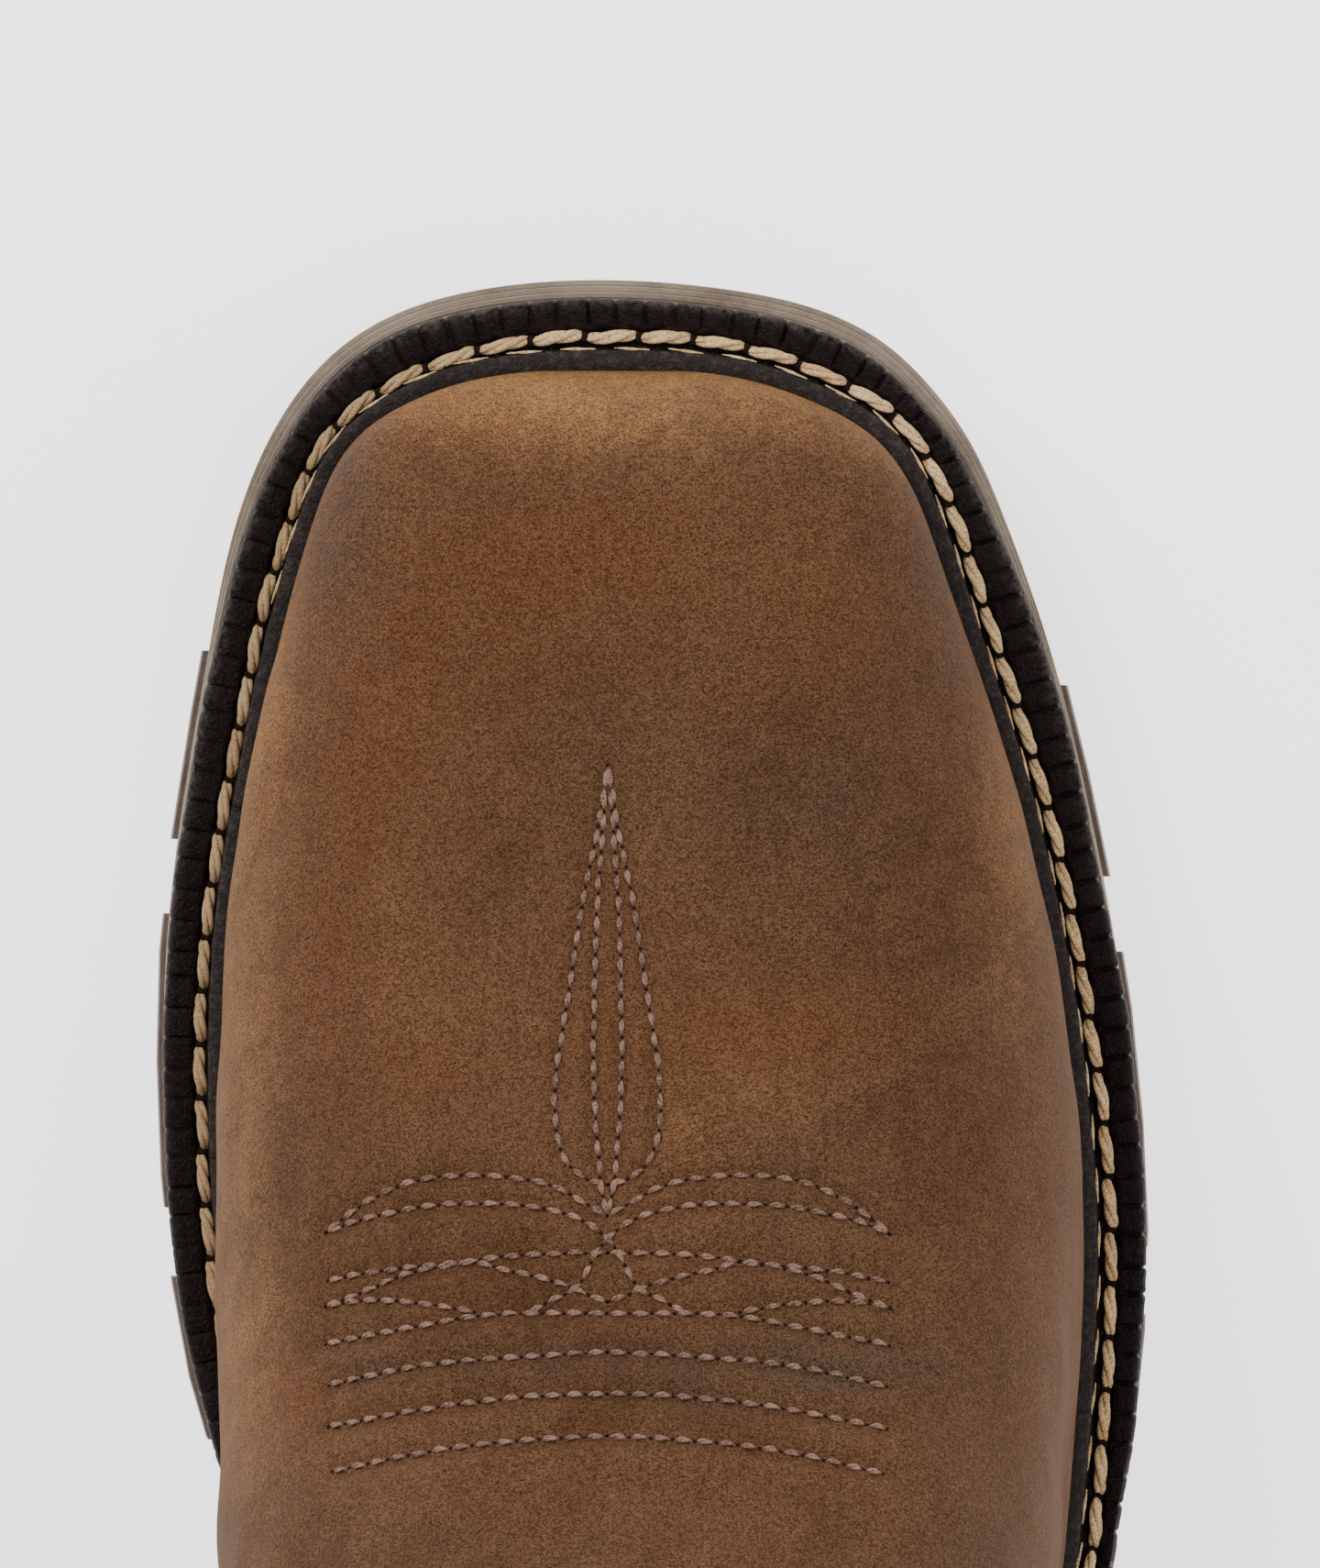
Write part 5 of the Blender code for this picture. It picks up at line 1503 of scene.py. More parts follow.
@dataclass
class Shaft:
    """Ankle and leg part of the upper, its lining and the seams at the vamp's edge."""

    last: Last
    vamp_wall: float = 0.0030
    shaft_wall: float = SHAFT_WALL
    fan_rows: int = 70
    rings: int = 120
    columns: int = 90
    front_fold: float = 0.150
    fold_depths: tuple[float, float] = (0.0011, 0.0007)
    fold_lengths: tuple[float, float] = (0.019, 0.021)
    fold_reaches: tuple[float, float] = (0.024, 0.020)
    unevenness: float = 0.0004

    @property
    def step(self) -> float:
        """How far the shaft lies under the vamp's outer face."""
        return self.vamp_wall - self.shaft_wall

    @cached_property
    def skin(self) -> Skin:
        """Face of the form from under the vamp's edge to the collar."""
        places = np.linspace(self.last.vamp_edge - 0.04, 1, self.fan_rows)
        heights = (np.arange(1, self.rings + 1) / self.rings) ** 1.1
        return Skin.of_leg(self.last, places, heights, self.columns)

    def folds(self) -> Array:
        """Soft creases where the ankle bends, strongest at the front."""
        rows = self.skin.rows
        x, y, z = rows[..., 0], rows[..., 1], rows[..., 2]
        front = smoothstep((y - 0.055) / 0.075)
        back = smoothstep((0.060 - y) / 0.05)
        lines = z - 0.22 * (0.14 - y) + 0.0035 * ripple(rows, 0.055, 21)
        places = (lines - self.front_fold, z - self.last.throat_height)
        where = (front * smoothstep((0.040 - np.abs(x)) / 0.02), back)
        wave = 0
        for at, part, depth, length, reach in zip(
            places, where, self.fold_depths, self.fold_lengths, self.fold_reaches
        ):
            wave = wave + depth * part * np.cos(at * 2 * math.pi / length) * np.exp(-((at / reach) ** 2))
        return wave + self.unevenness * ripple(rows, 0.045, 22)

    def build(self, wardrobe: Wardrobe) -> None:
        """Makes the shaft, its lining and the double seam along the vamp's edge."""
        rows = self.skin.moved(self.folds() * self.rise_mask() - self.step)
        low = self.skin.rows[..., 2] - self.last.feather(self.skin.rows[..., 1])
        # Pale band along the rolled lower edge: partly wear, partly painted sheen, as on the vamp.
        rim = np.exp(-(((low - 0.008) / 0.010) ** 2))
        wear = np.clip(0.5 * rim + 0.18 * ripple(self.skin.rows, 0.05, 31), 0, 1)
        soil = np.clip(0.35 * ripple(self.skin.rows, 0.04, 32), 0, 1)
        masks = plain_masks(rows, wear=wear, soil=soil)
        faces = grid_quads(*rows.shape[:2])
        piece = make_mesh("shaft", rows.reshape(-1, 3), faces[:, ::-1], masks)
        publish(piece, Finish.UPPER, wardrobe.shaft)
        self.line_inside(wardrobe)
        self.sew_edge(wardrobe)

    def rise_mask(self) -> Array:
        """Keeps the folds away from the sole and from the collar."""
        z = self.skin.rows[..., 2]
        return smoothstep((z - 0.085) / 0.02) * smoothstep((0.245 - z) / 0.03)

    def line_inside(self, wardrobe: Wardrobe) -> None:
        """Makes the lining, toe to collar."""
        rows, columns = 60, 50
        toe = self.last.toe_rows(rows, columns)
        fans = self.last.fan_rows(np.linspace(0, 1, self.fan_rows)[1:], columns)
        rings = self.last.shaft_rows((np.arange(1, rows + 1) / rows) ** 1.1, columns)
        inside = Skin(np.vstack([toe, fans, rings])).moved(-self.vamp_wall)
        piece = make_mesh("lining", inside.reshape(-1, 3), grid_quads(*inside.shape[:2]))
        publish(piece, Finish.UPPER, wardrobe.lining)

    def sew_edge(self, wardrobe: Wardrobe) -> None:
        """Two rows of stitches along the vamp's upper edge."""
        seams = Seams("vamp_edge_stitch", THICK_TRIM, 0.00035)
        places = self.last.vamp_edge - np.array([0.026, 0.018, 0.0165, 0.008])
        rows = Skin(self.last.fan_rows(places, 120))
        for index in (1, 3):
            row, normals = rows.rows[index][9:-9], rows.normals[index][9:-9]
            seams.run(row + normals * TRIM_LIFT, normals)
        seams.build(wardrobe, Finish.UPPER)


@dataclass
class Counter:
    """Heel piece with its two rows of stitches."""

    last: Last
    thickness: float = 0.0014
    height: float = 0.098
    step: float = SHAFT_STEP
    lift: float = 0.0065
    waist: float = 0.018
    setback: float = 0.004
    drops: tuple[float, float] = (0.0026, 0.0050)

    @property
    def front(self) -> float:
        """Foremost place of the counter."""
        return self.last.seam_y - self.setback

    def top_at(self, y: Array | float) -> Array:
        """Height of the upper edge at y."""
        waist = self.last.sole_top(self.front) + self.lift + self.waist
        share = 1 - np.asarray(y) / (self.front - self.setback)
        return waist + (self.height - waist) * smoothstep(share * 1.05)

    def build(self, wardrobe: Wardrobe) -> None:
        """Makes the counter from the form's surface, cut to its outline."""
        places = np.linspace(self.last.vamp_edge + 0.005, 1, 90)
        heights = np.linspace(0.005, 0.42, 60)
        skin = Skin.of_leg(self.last, places, heights, 100)
        inner = skin.moved(self.last.gap - self.step)
        outer = skin.moved(self.last.gap - self.step + self.thickness)
        count, columns = outer.shape[:2]
        shift = count * columns
        quads = grid_quads(count, columns)
        faces = np.vstack([quads[:, ::-1], quads + shift]).tolist()
        open_row = [i for i in range(count) if np.linalg.norm(skin.rows[i, 0] - skin.rows[i, -1]) > 1e-6]
        for i in open_row:
            a, b = i * columns, (i + 1) * columns
            c, d = a + columns - 1, b + columns - 1
            faces += [(a, b, b + shift, a + shift), (d, c, c + shift, d + shift)]
        last = (count - 1) * columns
        for j in range(columns - 1):
            faces.append((j + 1, j, j + shift, j + 1 + shift))
            faces.append((last + j, last + j + 1, last + j + 1 + shift, last + j + shift))
        points = np.vstack([outer.reshape(-1, 3), inner.reshape(-1, 3)])
        piece = make_mesh("counter_cover", points, faces)
        tidy(piece)
        cutter = self.cutter()
        cut = piece.modifiers.new("Outline", "BOOLEAN")
        cut.operation = "INTERSECT"
        cut.object = cutter
        graph = bpy.context.evaluated_depsgraph_get()
        made = bpy.data.meshes.new_from_object(piece.evaluated_get(graph))
        piece.modifiers.clear()
        piece.data = made
        bpy.data.objects.remove(cutter)
        made.materials.clear()
        made.set_sharp_from_angle(angle=math.radians(40))
        self.paint(piece)
        publish(piece, Finish.COUNTER, wardrobe.shaft, "counter")
        self.sew(skin, wardrobe)

    def cutter(self) -> Piece:
        """Prism across the boot in the shape of the counter's side view."""
        low = np.linspace(-0.02, self.front, 40)
        outline = [(y, float(self.last.sole_top(y)) + self.lift) for y in low]
        outline += [(y, float(self.top_at(y))) for y in np.linspace(self.front - self.setback, 0, 40)]
        outline.append((-0.02, self.height))
        count = len(outline)
        points = np.array([(x, y, z) for x in (-0.1, 0.1) for y, z in outline])
        faces = [tuple(range(count)), tuple(range(2 * count - 1, count - 1, -1))]
        faces += [(i, (i + 1) % count, count + (i + 1) % count, count + i) for i in range(count)]
        prism = make_mesh("counter_outline", points, faces)
        tidy(prism)
        return prism

    def paint(self, piece: Piece) -> None:
        """Wear along the counter's edges."""
        mesh = piece.data
        count = len(mesh.vertices)
        points = np.empty(count * 3, dtype=np.float32)
        mesh.vertices.foreach_get("co", points)
        points = points.reshape(-1, 3) - boot_frame(np.zeros(3))
        edge = np.abs(points[:, 2] - self.top_at(points[:, 1]))
        wear = np.clip(0.7 * np.exp(-((edge / 0.0016) ** 2)) + 0.2 * ripple(points, 0.04, 41), 0, 1)
        paint(mesh, plain_masks(points, wear=wear))

    def sew(self, skin: Skin, wardrobe: Wardrobe) -> None:
        """Two rows of stitches under the counter's upper edge."""
        surface = surface_of(skin.moved(self.last.gap - self.step + self.thickness))
        seams = Seams("counter_stitch", THICK_TRIM, 0.00035)
        for drop in self.drops:
            line = []
            normals = []
            for turn in np.linspace(-0.5, 1.5, 261) * math.pi:
                heading = Vector((math.cos(turn - math.pi), math.sin(turn - math.pi), 0))
                z = 0.09
                hit = None
                for _ in range(12):
                    hit = surface.ray_cast(Vector((0, 0.052, z)), heading)
                    if hit[0] is None:
                        break
                    z = float(self.top_at(hit[0].y)) - drop
                if hit and hit[0] is not None and hit[0].y < self.front - 0.006:
                    outward = hit[1] if hit[1].dot(heading) > 0 else -hit[1]
                    line.append(tuple(hit[0]))
                    normals.append(tuple(outward))
            seams.run(np.array(line), np.array(normals))
        seams.build(wardrobe, Finish.COUNTER)


@dataclass
class Welt:
    """Welt with wheel marks, cord stitches in their channel, and the bead against the upper."""

    last: Last
    marks: int = 212
    thickness: float = 0.0040
    bead_height: float = 0.0015
    bead_width: float = 0.0019
    cord_place: float = 0.00345
    channel_depth: float = 0.0008
    mark_depth: float = 0.00050
    mark_width: float = 0.060
    inner_shift: float = 0.0011
    arch_shift: float = 0.00095
    outer_shift: float = 0.0003
    outer_spread: float = 0.0005
    bead_clearance: float = 0.00085
    cord_radius: float = 0.00088
    crown_height: float = 0.00008
    cord_pitch: float = 0.0061
    phases: tuple[float, ...] = (0.0, 0.14, 0.27, 0.36, 0.42, 0.465, 0.5, 0.535, 0.58, 0.64, 0.73, 0.86)

    def __post_init__(self) -> None:
        """Pairs each place of the outer edge with the nearest place of the upper's wall."""
        jitter = np.random.default_rng(5).uniform(-0.09, 0.09, (self.marks, 1))
        bend = np.sin(np.array(self.phases) * math.pi)[None]
        pieces = np.arange(self.marks)[:, None] + np.array(self.phases)[None] + jitter * bend
        self.shares = (pieces / self.marks).ravel()
        self.count = len(self.shares)
        edge = self.last.sole.loop_at(self.shares)
        self.outer = inset_loop(edge, self.last.rim_inset(edge[:, 1]))
        wall = inset_loop(self.last.foot.loop(3600), -self.last.gap)
        nearest = [int(np.argmin(np.sum((wall - place) ** 2, axis=1))) for place in self.outer]
        self.wall = wall[nearest]
        out = self.outer - self.wall
        self.width = np.linalg.norm(out, axis=1)
        kernel = np.ones(25) / 25
        padded = np.vstack([out[-12:], out, out[:12]])
        smooth = np.column_stack([np.convolve(padded[:, i], kernel, mode="valid") for i in range(2)])
        self.out = unit(smooth)
        x, y = self.outer.T
        inner, outer = smoothstep(-x / 0.035), smoothstep(x / 0.03)
        arch = smoothstep((0.227 - y) / 0.044) * smoothstep((y - 0.03) / 0.05)
        self.inner, self.slim = inner, inner * arch
        self.cord = self.cord_place - self.inner_shift * inner - self.arch_shift * self.slim
        self.cord = self.cord - self.outer_shift * outer * smoothstep((y - 0.20) / 0.03)
        self.bead = np.minimum(self.bead_width, self.cord - self.bead_clearance)
        self.front = smoothstep((y - 0.215) / 0.05)
        self.width = self.width + self.outer_spread * outer * smoothstep((0.235 - y) / 0.04)

    def ring(self, distance: Array | float, height: Array | float) -> Array:
        """Points at a distance from the upper's wall and a height over the midsole."""
        plan = self.wall + self.out * np.broadcast_to(distance, self.count)[:, None]
        return np.column_stack([plan, self.last.sole_top(plan[:, 1]) + height])

    @cached_property
    def relief(self) -> tuple[Array, Array]:
        """Depth of the wheel marks and crown of the pieces between them, each 0 to 1."""
        phase = np.tile(self.phases, self.marks)
        source = np.random.default_rng(9)
        force = np.repeat(source.uniform(0.55, 1.15, self.marks), len(self.phases))
        force *= 1 - 0.5 * self.inner - 0.2 * self.slim
        mark = np.exp(-(((phase - 0.5) / self.mark_width) ** 2)) * force
        crown = np.abs(np.cos(phase * math.pi)) ** 0.6
        return mark, crown

    def build(self, wardrobe: Wardrobe) -> None:
        """Makes the welt and its threads."""
        top = self.last.gap + self.thickness
        bead = top + self.bead_height
        mark, crown = self.relief
        width, cut = self.width, mark * self.mark_depth
        proud = crown * self.crown_height
        channel = self.cord + self.cord_radius
        band = width - channel
        spots = np.column_stack([self.outer, np.zeros(self.count)])
        wavy = 0.00012 * ripple(spots, 0.012, 6) + 0.00005 * ripple(spots, 0.0022, 7)
        b = self.bead
        worn = (0.55 + 0.45 * crown - 0.7 * mark) * (0.28 + 0.72 * self.front)
        # Distance from the wall, height over the midsole, wear and share of the bead's colour, from
        # the foot of the wall round the edge and the channel to the bead
        profile = [
            (0.0, self.last.gap, 0.0, 0.0),
            (width - 0.0004, self.last.gap, 0.0, 0.0),
            (width - cut * 0.5 + wavy, self.last.gap + 0.0004, 0.25, 0.0),
            (width - cut * 0.8 + wavy, top - 0.0014 - cut * 0.5, 0.5 * worn, 0.0),
            (width - 0.00010 - cut * 0.8 + wavy, top - 0.0007 - cut, 0.95 * worn, 0.0),
            (width - 0.0004 - cut * 0.4 + wavy, top - 0.0002 - cut + proud, worn, 0.0),
            (width - band * 0.27 + wavy, top - cut + proud, 0.42 * worn, 0.0),
            (width - band * 0.46, top - cut + proud, 0.12 * worn, 0.0),
            (channel + band * 0.36, top - cut * 0.95 + proud, 0.05 * worn, 0.0),
            (channel + 0.0005 + band * 0.06, top - cut * 0.9 + proud, 0.05 * worn, 0.0),
            (channel + 0.0004, top - cut * 0.6 + proud * 0.6, 0.14 * worn, 0.0),
            (channel + 0.0001 + wavy * 0.5, top - 0.0001 - cut * 0.2, 0.25, 0.0),
            (channel - 0.0001, top - 0.0004, 0.1, 0.0),
            (channel - 0.0004, top - self.channel_depth, 0.0, 0.0),
            (b + 0.0003, top - self.channel_depth, 0.0, 0.2),
            (b + 0.0001 + wavy * 0.5, top - 0.0001, 0.1, 0.8),
            (b - 0.00005 + wavy * 0.5, bead - 0.0006, 0.30, 1.0),
            (b - 0.00014 + wavy * 0.5, bead - 0.00014, 0.45, 1.0),
            (b - 0.00036, bead + wavy * 0.3, 0.24, 1.0),
            (b * 0.30, bead + 0.00008 + wavy * 0.3, 0.16, 1.0),
            (-0.0003, bead + 0.0001, 0.12, 1.0),
            (-0.0009, bead - 0.0001, 0.0, 1.0),
            (-0.0010, bead - 0.0009, 0.0, 1.0),
        ]
        rows = np.array([self.ring(distance, height) for distance, height, _, _ in profile])
        wear = np.concatenate([np.broadcast_to(row[2], self.count) for row in profile])
        beads = np.repeat([row[3] for row in profile], self.count)
        masks = {"wear": np.clip(wear, 0, 1), "bead": beads}
        faces = ring_quads(len(profile), self.count)
        piece = make_mesh("welt_strip", rows.reshape(-1, 3), faces, masks)
        tidy(piece)
        publish(piece, Finish.WELT, wardrobe.welt, "welt")
        self.sew(wardrobe, top, bead)

    @staticmethod
    def in_sight(places: Array) -> Array:
        """Where the inseam's thread shows beside the bead."""
        return (places[:, 0] > -0.012) | (places[:, 1] > 0.268)

    def sew(self, wardrobe: Wardrobe, top: float, bead: float) -> None:
        """Cord stitches in the channel and the inseam's thread beside the bead."""
        up = np.tile([0.0, 0.0, 1.0], (self.count + 1, 1))
        line = self.ring(self.cord, top - self.channel_depth + 0.0006)
        fine = {"turns": 0.6, "rings": 20, "sides": 8}
        form = Stitch(0.0060, 0.00150, plies=3, rise=0.26, dive=0.6, slant=-0.06, **fine)
        cord = Seams("welt_cord", form, 0.0006, "cord_thread", inner_darkening=0.55)
        cord.run(np.vstack([line, line[:1]]), up, self.cord_pitch)
        cord.build(wardrobe, Finish.WELT)
        inseam = self.ring(self.bead + 0.00010, bead - 0.0005)
        sliver = Stitch(0.0040, 0.00036, turns=0.8, rings=9, sides=6, rise=0.2, slant=0.04)
        thread = Seams("inseam_thread", sliver, 0.0002, "cord_thread")
        thread.run(np.vstack([inseam, inseam[:1]]), up, self.cord_pitch, self.in_sight)
        thread.build(wardrobe, Finish.WELT)


@dataclass
class Midsole:
    """Light rubber layer with a stepped, finely lined edge."""

    last: Last
    count: int = 700
    thickness: float = 0.0040
    steps: int = 3
    reach: float = 0.92
    groove: float = 0.00012

    def build(self, wardrobe: Wardrobe) -> None:
        """Makes the layer as one closed ring of profiles with flat caps."""
        loop = self.last.sole.loop(self.count)
        rim = self.last.rim_inset(loop[:, 1])
        # Share of the rim's inset, distance added to it, and height over the layer's top
        layers = [
            (0.0, 0.0012, -self.thickness),
            (0.0, 0.0004, -self.thickness),
            (0.0, 0.0, -self.thickness + 0.0004),
            (0.0, 0.0, -0.0026),
        ]
        for step in range(self.steps):
            low = self.reach * step / self.steps
            high = self.reach * (step + 0.78) / self.steps
            level = -0.0022 + 0.0022 * (step + 1) / self.steps
            layers += [
                (low, 0.00004, level - self.groove),
                (low, 0.00012, level),
                (high, 0.00008, level),
                (high, 0.00012, level - self.groove),
            ]
        layers.append((1.0, 0.0010, 0.0))
        rows = []
        for share, extra, height in layers:
            ring = inset_loop(loop, rim * share + extra)
            rows.append(np.column_stack([ring, self.last.sole_top(ring[:, 1]) + height]))
        points = np.array(rows).reshape(-1, 3)
        faces = grid_quads(len(layers), self.count, closed=True).tolist()
        faces += self.cap(0) + self.cap((len(layers) - 1) * self.count)
        piece = make_mesh("midsole_layer", points, faces)
        tidy(piece, 50)
        publish(piece, Finish.MIDSOLE, wardrobe.midsole, "midsole")

    def cap(self, start: int) -> list[tuple[int, ...]]:
        """Strips across the layer."""
        half = self.count // 2
        faces = []
        for i in range(half):
            across = [i, i + 1, (self.count - i - 1) % self.count, (self.count - i) % self.count]
            faces.append(tuple(dict.fromkeys(start + corner for corner in across)))
        return [face for face in faces if len(face) > 2]


@dataclass
class Underfoot:
    """Outsole, heel and insole keep their solids and get their finishes."""

    def dress(self, wardrobe: Wardrobe) -> None:
        """Assigns the materials."""
        for node, material in (
            ("outsole", wardrobe.outsole),
            ("heel", wardrobe.outsole),
            ("insole", wardrobe.insole),
        ):
            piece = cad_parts[node]
            piece.data.materials.clear()
            piece.data.materials.append(material)


@dataclass
class Collar:
    """Folded binding over the shaft's edge with a row of stitches."""

    last: Last
    step: float = SHAFT_STEP
    wall: float = SHAFT_WALL
    thickness: float = 0.0010
    outside: float = 0.009
    inside: float = 0.006
    columns: int = 130
    wear: tuple[float, ...] = (
        *(0.5, 0.5, 0.3, 0.1, 0.3, 0.7, 0.9, 0.9),
        *(0.7, 0.5, 0.2, 0.1, 0.3, 0.2, 0.0, 0.0),
    )

    @cached_property
    def skin(self) -> Skin:
        """Upper end of the shaft's form."""
        return Skin(self.last.shaft_rows(np.linspace(0.93, 1, 8), self.columns))

    def ring(self, out: float, up: float) -> Array:
        """Closed ring at a distance out of the shaft's face and up from its edge."""
        rows = self.skin.moved(-self.step)[:, :-1]
        edge, below = rows[-1], rows[-4]
        length = np.linalg.norm(edge - below, axis=1, keepdims=True)
        return edge + (edge - below) / length * up + self.skin.normals[-1, :-1] * out

    def build(self, wardrobe: Wardrobe) -> None:
        """Makes the binding and its stitches."""
        gap = self.last.gap
        outer = gap + self.thickness
        w = self.wall
        # Distance out of the face and height over the edge, outer foot over the top to inner foot
        profile = [
            (gap * 0.5, -self.outside + 0.0002),
            (gap + self.thickness * 0.6, -self.outside - 0.0001),
            (outer, -self.outside + 0.0007),
            (outer, -0.004),
            (outer, -0.0006),
            (outer - 0.0003, 0.0004),
            (gap - w * 0.2, outer * 0.8),
            (-w * 0.5, outer),
            (-w * 0.8 - gap, outer * 0.8),
            (-w - outer + 0.0003, 0.0004),
            (-w - outer, -0.0006),
            (-w - outer, -self.inside + 0.0006),
            (-w - gap - self.thickness * 0.6, -self.inside),
            (-w - gap * 0.5, -self.inside + 0.0002),
            (-w - gap * 0.5, gap),
            (gap * 0.5, gap),
        ]
        rows = np.array([self.ring(out, up) for out, up in profile])
        count = rows.shape[1]
        masks = plain_masks(rows.reshape(-1, 3), wear=np.repeat(self.wear, count) * 0.7)
        piece = make_mesh("binding_strip", rows.reshape(-1, 3), ring_quads(len(profile), count), masks)
        tidy(piece)
        publish(piece, Finish.BINDING, wardrobe.trim, "collar_binding")
        seams = Seams("binding_stitch", FINE_TRIM, 0.0003)
        line = self.ring(outer + 0.00005, -self.outside + 0.0019)
        normals = self.skin.normals[-1, :-1]
        seams.run(np.vstack([line, line[:1]]), np.vstack([normals, normals[:1]]))
        seams.build(wardrobe, Finish.BINDING)


@dataclass
class PullStrap:
    """Leather band over the collar that stands up as a loop."""

    last: Last
    side: Side
    width: float = 0.026
    thickness: float = 0.0020
    outside: float = 0.046
    inside: float = 0.032
    loop: float = 0.022
    steps: int = 110
    lanes: int = 13

    @cached_property
    def skin(self) -> Skin:
        """Shaft's form at one side."""
        rows = self.last.shaft_rows(np.linspace(0.6, 1, 30), 160)
        return Skin(Skin(rows).moved(-SHAFT_STEP))

    @cached_property
    def middle(self) -> float:
        """Place of the strap along the boot."""
        return float(self.last.back[-1, 0]) + self.last.shaft_depth / 2

    def face_at(self, y: float, z: float) -> float:
        """Width of the shaft's face at a place and height."""
        half = self.skin.rows.shape[1] // 2
        part = self.skin.rows[:, : half + 1] if self.side is Side.MEDIAL else self.skin.rows[:, half:]
        xs, zs = [], []
        for row in part:
            order = np.argsort(row[:, 1])
            xs.append(np.interp(y, row[order, 1], row[order, 0]))
            zs.append(np.interp(y, row[order, 1], row[order, 2]))
        if z > zs[-1]:
            return float(xs[-1] + (xs[-1] - xs[-2]) / (zs[-1] - zs[-2]) * (z - zs[-1]))
        return float(np.interp(z, zs, xs))

    def path(self) -> Array:
        """Side view of the band: out of the face, up from the collar."""
        gap, wall = self.last.gap, SHAFT_WALL
        rest = 2 * gap + self.thickness / 2
        clear = rest + 0.0010 + 2 * gap
        inner_rest, inner_clear = -wall - rest, -wall - clear
        arch, bend = (clear - inner_clear) / 2, (clear + inner_clear) / 2
        bulges = ((1.35, 0.35), (1.40, 0.70), (0.85, 0.93))
        rows = [(rest, -self.outside), (rest, -self.outside * 0.6), (rest, -0.014)]
        rows += [(clear, -0.008), (clear, -0.002)]
        rows += [(bend + arch * out, self.loop * up) for out, up in bulges] + [(bend, self.loop)]
        rows += [(bend - arch * out, self.loop * up) for out, up in bulges[::-1]]
        rows += [(inner_clear, -0.002), (inner_clear, -0.006)]
        rows += [(inner_rest, -0.012), (inner_rest, -self.inside)]
        dense = smooth_curve(rows, closed=False, count=400)
        dense[:, 0] = np.where(
            dense[:, 1] < -0.011, np.where(dense[:, 0] > bend, rest, inner_rest), dense[:, 0]
        )
        return resample(dense, self.steps)

    def build(self, wardrobe: Wardrobe) -> None:
        """Makes the band and its stitches."""
        path = self.path()
        turn = unit(np.gradient(path, axis=0))
        outward = np.column_stack([turn[:, 1], -turn[:, 0]])
        collar = self.last.collar_height + self.last.collar_rise
        across = np.linspace(-1, 1, self.lanes)
        edge = np.sqrt(np.clip(1 - np.abs(across) ** 12, 0.12, 1))
        faces_xy = {}
        for lane in across:
            y = self.middle + lane * self.width / 2
            base = [self.face_at(y, collar + lift) for lift in path[:, 1]]
            faces_xy[float(lane)] = (y, np.array(base))
        rows = []
        for sign in (1, -1):
            order = across if sign == 1 else across[::-1]
            for lane in order:
                y, base = faces_xy[float(lane)]
                half = self.thickness / 2 * edge[int(np.argmin(np.abs(across - lane)))]
                line = path + outward * sign * half
                x = base + self.side.value * line[:, 0]
                rows.append(np.column_stack([x, np.full(len(x), y), collar + line[:, 1]]))
        rows = np.array(rows)
        points = rows.reshape(-1, 3)
        count = self.steps
        quads = grid_quads(len(rows), count)
        last = (len(rows) - 1) * count
        j = np.arange(count - 1)
        faces = np.vstack([quads, np.stack([last + j, last + j + 1, j + 1, j], -1)]).tolist()
        lanes = len(across)
        for end in (0, count - 1):
            for i in range(lanes - 1):
                a, b = i * count + end, (i + 1) * count + end
                c, d = (2 * lanes - 2 - i) * count + end, (2 * lanes - 1 - i) * count + end
                faces.append((a, b, c, d))
        wear = np.repeat(np.concatenate([np.abs(across) ** 8, np.abs(across) ** 8]), count) * 0.6
        masks = plain_masks(points, wear=wear)
        piece = make_mesh(f"strap_{self.side.tag}", points, faces, masks)
        tidy(piece, 60)
        publish(piece, Finish.STRAP, wardrobe.trim, f"pull_strap_{self.side.tag}")
        self.sew(rows, path, wardrobe)

    def sew(self, rows: Array, path: Array, wardrobe: Wardrobe) -> None:
        """Stitches along both edges and across the lower end of the outer leg."""
        seams = Seams(f"strap_stitch_{self.side.tag}", FINE_TRIM, 0.0003)
        outside = path[:, 1] < -0.006
        outer_leg = outside & (path[:, 0] > 0)
        normal = np.array([self.side.value, 0.0, 0.0])
        lanes = [rows[lane][outer_leg][2:] for lane in (1, self.lanes - 2)]
        for line in lanes + [rows[1 : self.lanes - 1, 3]]:
            seams.run(line + normal * TRIM_LIFT, np.tile(normal, (len(line), 1)))
        seams.build(wardrobe, Finish.STRAP)


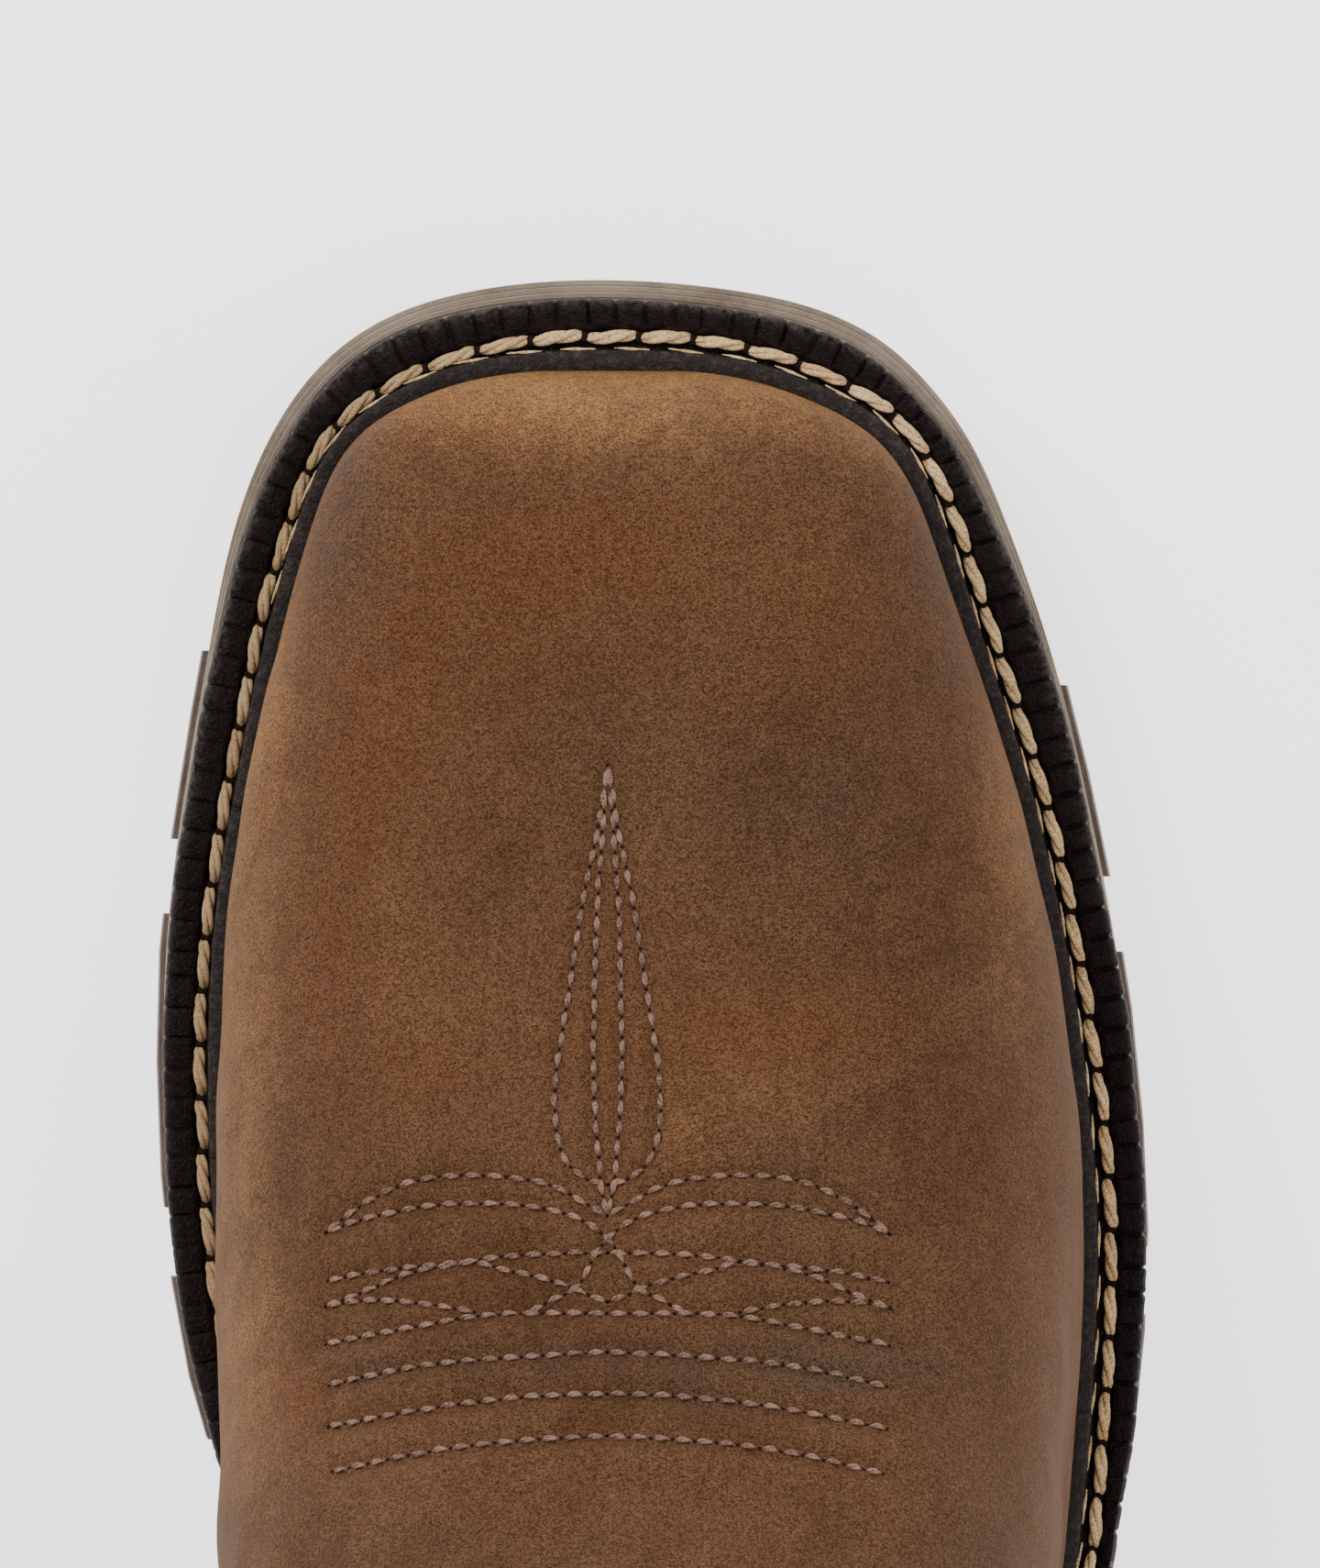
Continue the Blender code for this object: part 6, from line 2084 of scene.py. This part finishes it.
@dataclass
class SidePiping:
    """Corded seam down the side of the shaft, with a row of stitches on each side."""

    last: Last
    side: Side
    radius: float = 0.0013

    def build(self, wardrobe: Wardrobe) -> None:
        """Makes the cord and its stitches."""
        strap = PullStrap(self.last, self.side)
        skin = Skin(Skin(self.last.shaft_rows(np.linspace(0.16, 1, 60), 160)).moved(-SHAFT_STEP))
        strap.skin = skin
        top = self.last.collar_height + self.last.collar_rise - strap.outside - 0.002
        low = 0.098 * 0.92
        heights = np.linspace(top, low, 120)
        sign = self.side.value
        y, out = strap.middle, sign * (self.last.gap + self.radius)
        centre = np.array([(strap.face_at(y, z) + out, y, z) for z in heights])
        around = circle(14)
        ring = np.column_stack([np.cos(around), np.sin(around), np.zeros(14)]) * self.radius
        points = (centre[:, None] + ring[None]).reshape(-1, 3)
        faces = grid_quads(len(heights), 14, closed=True).tolist()
        faces += [tuple(range(14)), tuple(range(len(points) - 14, len(points)))]
        masks = plain_masks(points, wear=np.full(len(points), 0.25))
        piece = make_mesh(f"piping_{self.side.tag}", points, faces, masks)
        tidy(piece, 60)
        publish(piece, Finish.PIPING, wardrobe.trim, f"side_piping_{self.side.tag}")
        seams = Seams(f"side_stitch_{self.side.tag}", FINE_TRIM, 0.0003)
        normal = np.array([sign, 0.0, 0.0])
        for offset in (-0.0042, 0.0042):
            y = strap.middle + offset
            line = np.array([(strap.face_at(y, z) + sign * TRIM_LIFT, y, z) for z in heights])
            seams.run(line, np.tile(normal, (len(line), 1)))
        seams.build(wardrobe, Finish.PIPING)


@dataclass(frozen=True)
class Studio:
    """Pale floor, soft light and the camera straight over the toe."""

    last: Last
    millimetres_per_pixel: float = 0.1047
    axis_pixel: float = 665.0
    toe_pixel: float = 309.0
    picture: tuple[int, int] = (1440, 1710)
    distance: float = 1.40
    sole_level: float = 0.010
    floor_level: float = -0.0003
    floor_reach: float = 6.0
    aim: tuple[float, float, float] = (0.0, 0.08, 0.05)

    def build(self) -> None:
        """Makes floor, lights and camera."""
        self.floor()
        self.lights()
        self.camera()

    def floor(self) -> None:
        """Large pale floor."""
        mesh = bpy.data.meshes.new("floor")
        corners = [(x * self.floor_reach, y * self.floor_reach, self.floor_level) for x, y in SQUARE]
        mesh.from_pydata(corners, [], [(0, 1, 2, 3)])
        floor = put("floor", mesh)
        material, graph = start_material("studio_floor")
        shader = graph.surface((0.93, 0.93, 0.93), 0.9, 0.1)
        shader.inputs["Emission Color"].default_value = (1, 1, 1, 1)
        shader.inputs["Emission Strength"].default_value = 1.5
        floor.data.materials.append(material)

    def lights(self) -> None:
        """Even light from all round with a soft key from the upper left."""
        world = bpy.data.worlds.new("studio")
        world.use_nodes = True
        world.node_tree.nodes["Background"].inputs["Color"].default_value = (1, 1, 1, 1)
        world.node_tree.nodes["Background"].inputs["Strength"].default_value = 0.45
        bpy.context.scene.world = world
        for name, place, size, power in LIGHTS:
            light = bpy.data.lights.new(name, "AREA")
            light.energy = power
            light.size = size
            holder = put(name, light)
            holder.location = place
            beam = Vector(self.aim) - Vector(place)
            holder.rotation_euler = beam.to_track_quat("-Z", "Y").to_euler()

    def camera(self) -> None:
        """Camera straight over the middle of the picture, toe up."""
        scale = self.millimetres_per_pixel * MM
        x = (self.picture[0] / 2 - self.axis_pixel) * scale
        y = self.last.sole_length - (self.picture[1] / 2 - self.toe_pixel) * scale
        data = bpy.data.cameras.new("camera")
        data.sensor_width = 36.0
        data.lens = data.sensor_width * self.distance / (self.picture[1] * scale)
        data.clip_end = 20.0
        camera = put("camera", data)
        camera.location = boot_frame(np.array([x, y, self.sole_level + self.distance]))
        bpy.context.scene.camera = camera


def main() -> None:
    """Builds the boot over its solids."""
    logging.basicConfig(level=logging.INFO, format="%(name)s %(message)s")
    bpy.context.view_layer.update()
    last = Last()
    wardrobe = Wardrobe.build()
    Studio(last).build()
    Vamp(last).build(wardrobe)
    Shaft(last).build(wardrobe)
    Counter(last).build(wardrobe)
    Welt(last).build(wardrobe)
    Midsole(last).build(wardrobe)
    Underfoot().dress(wardrobe)
    Collar(last).build(wardrobe)
    for side in Side:
        PullStrap(last, side).build(wardrobe)
        SidePiping(last, side).build(wardrobe)


if __name__ == "__main__":
    main()
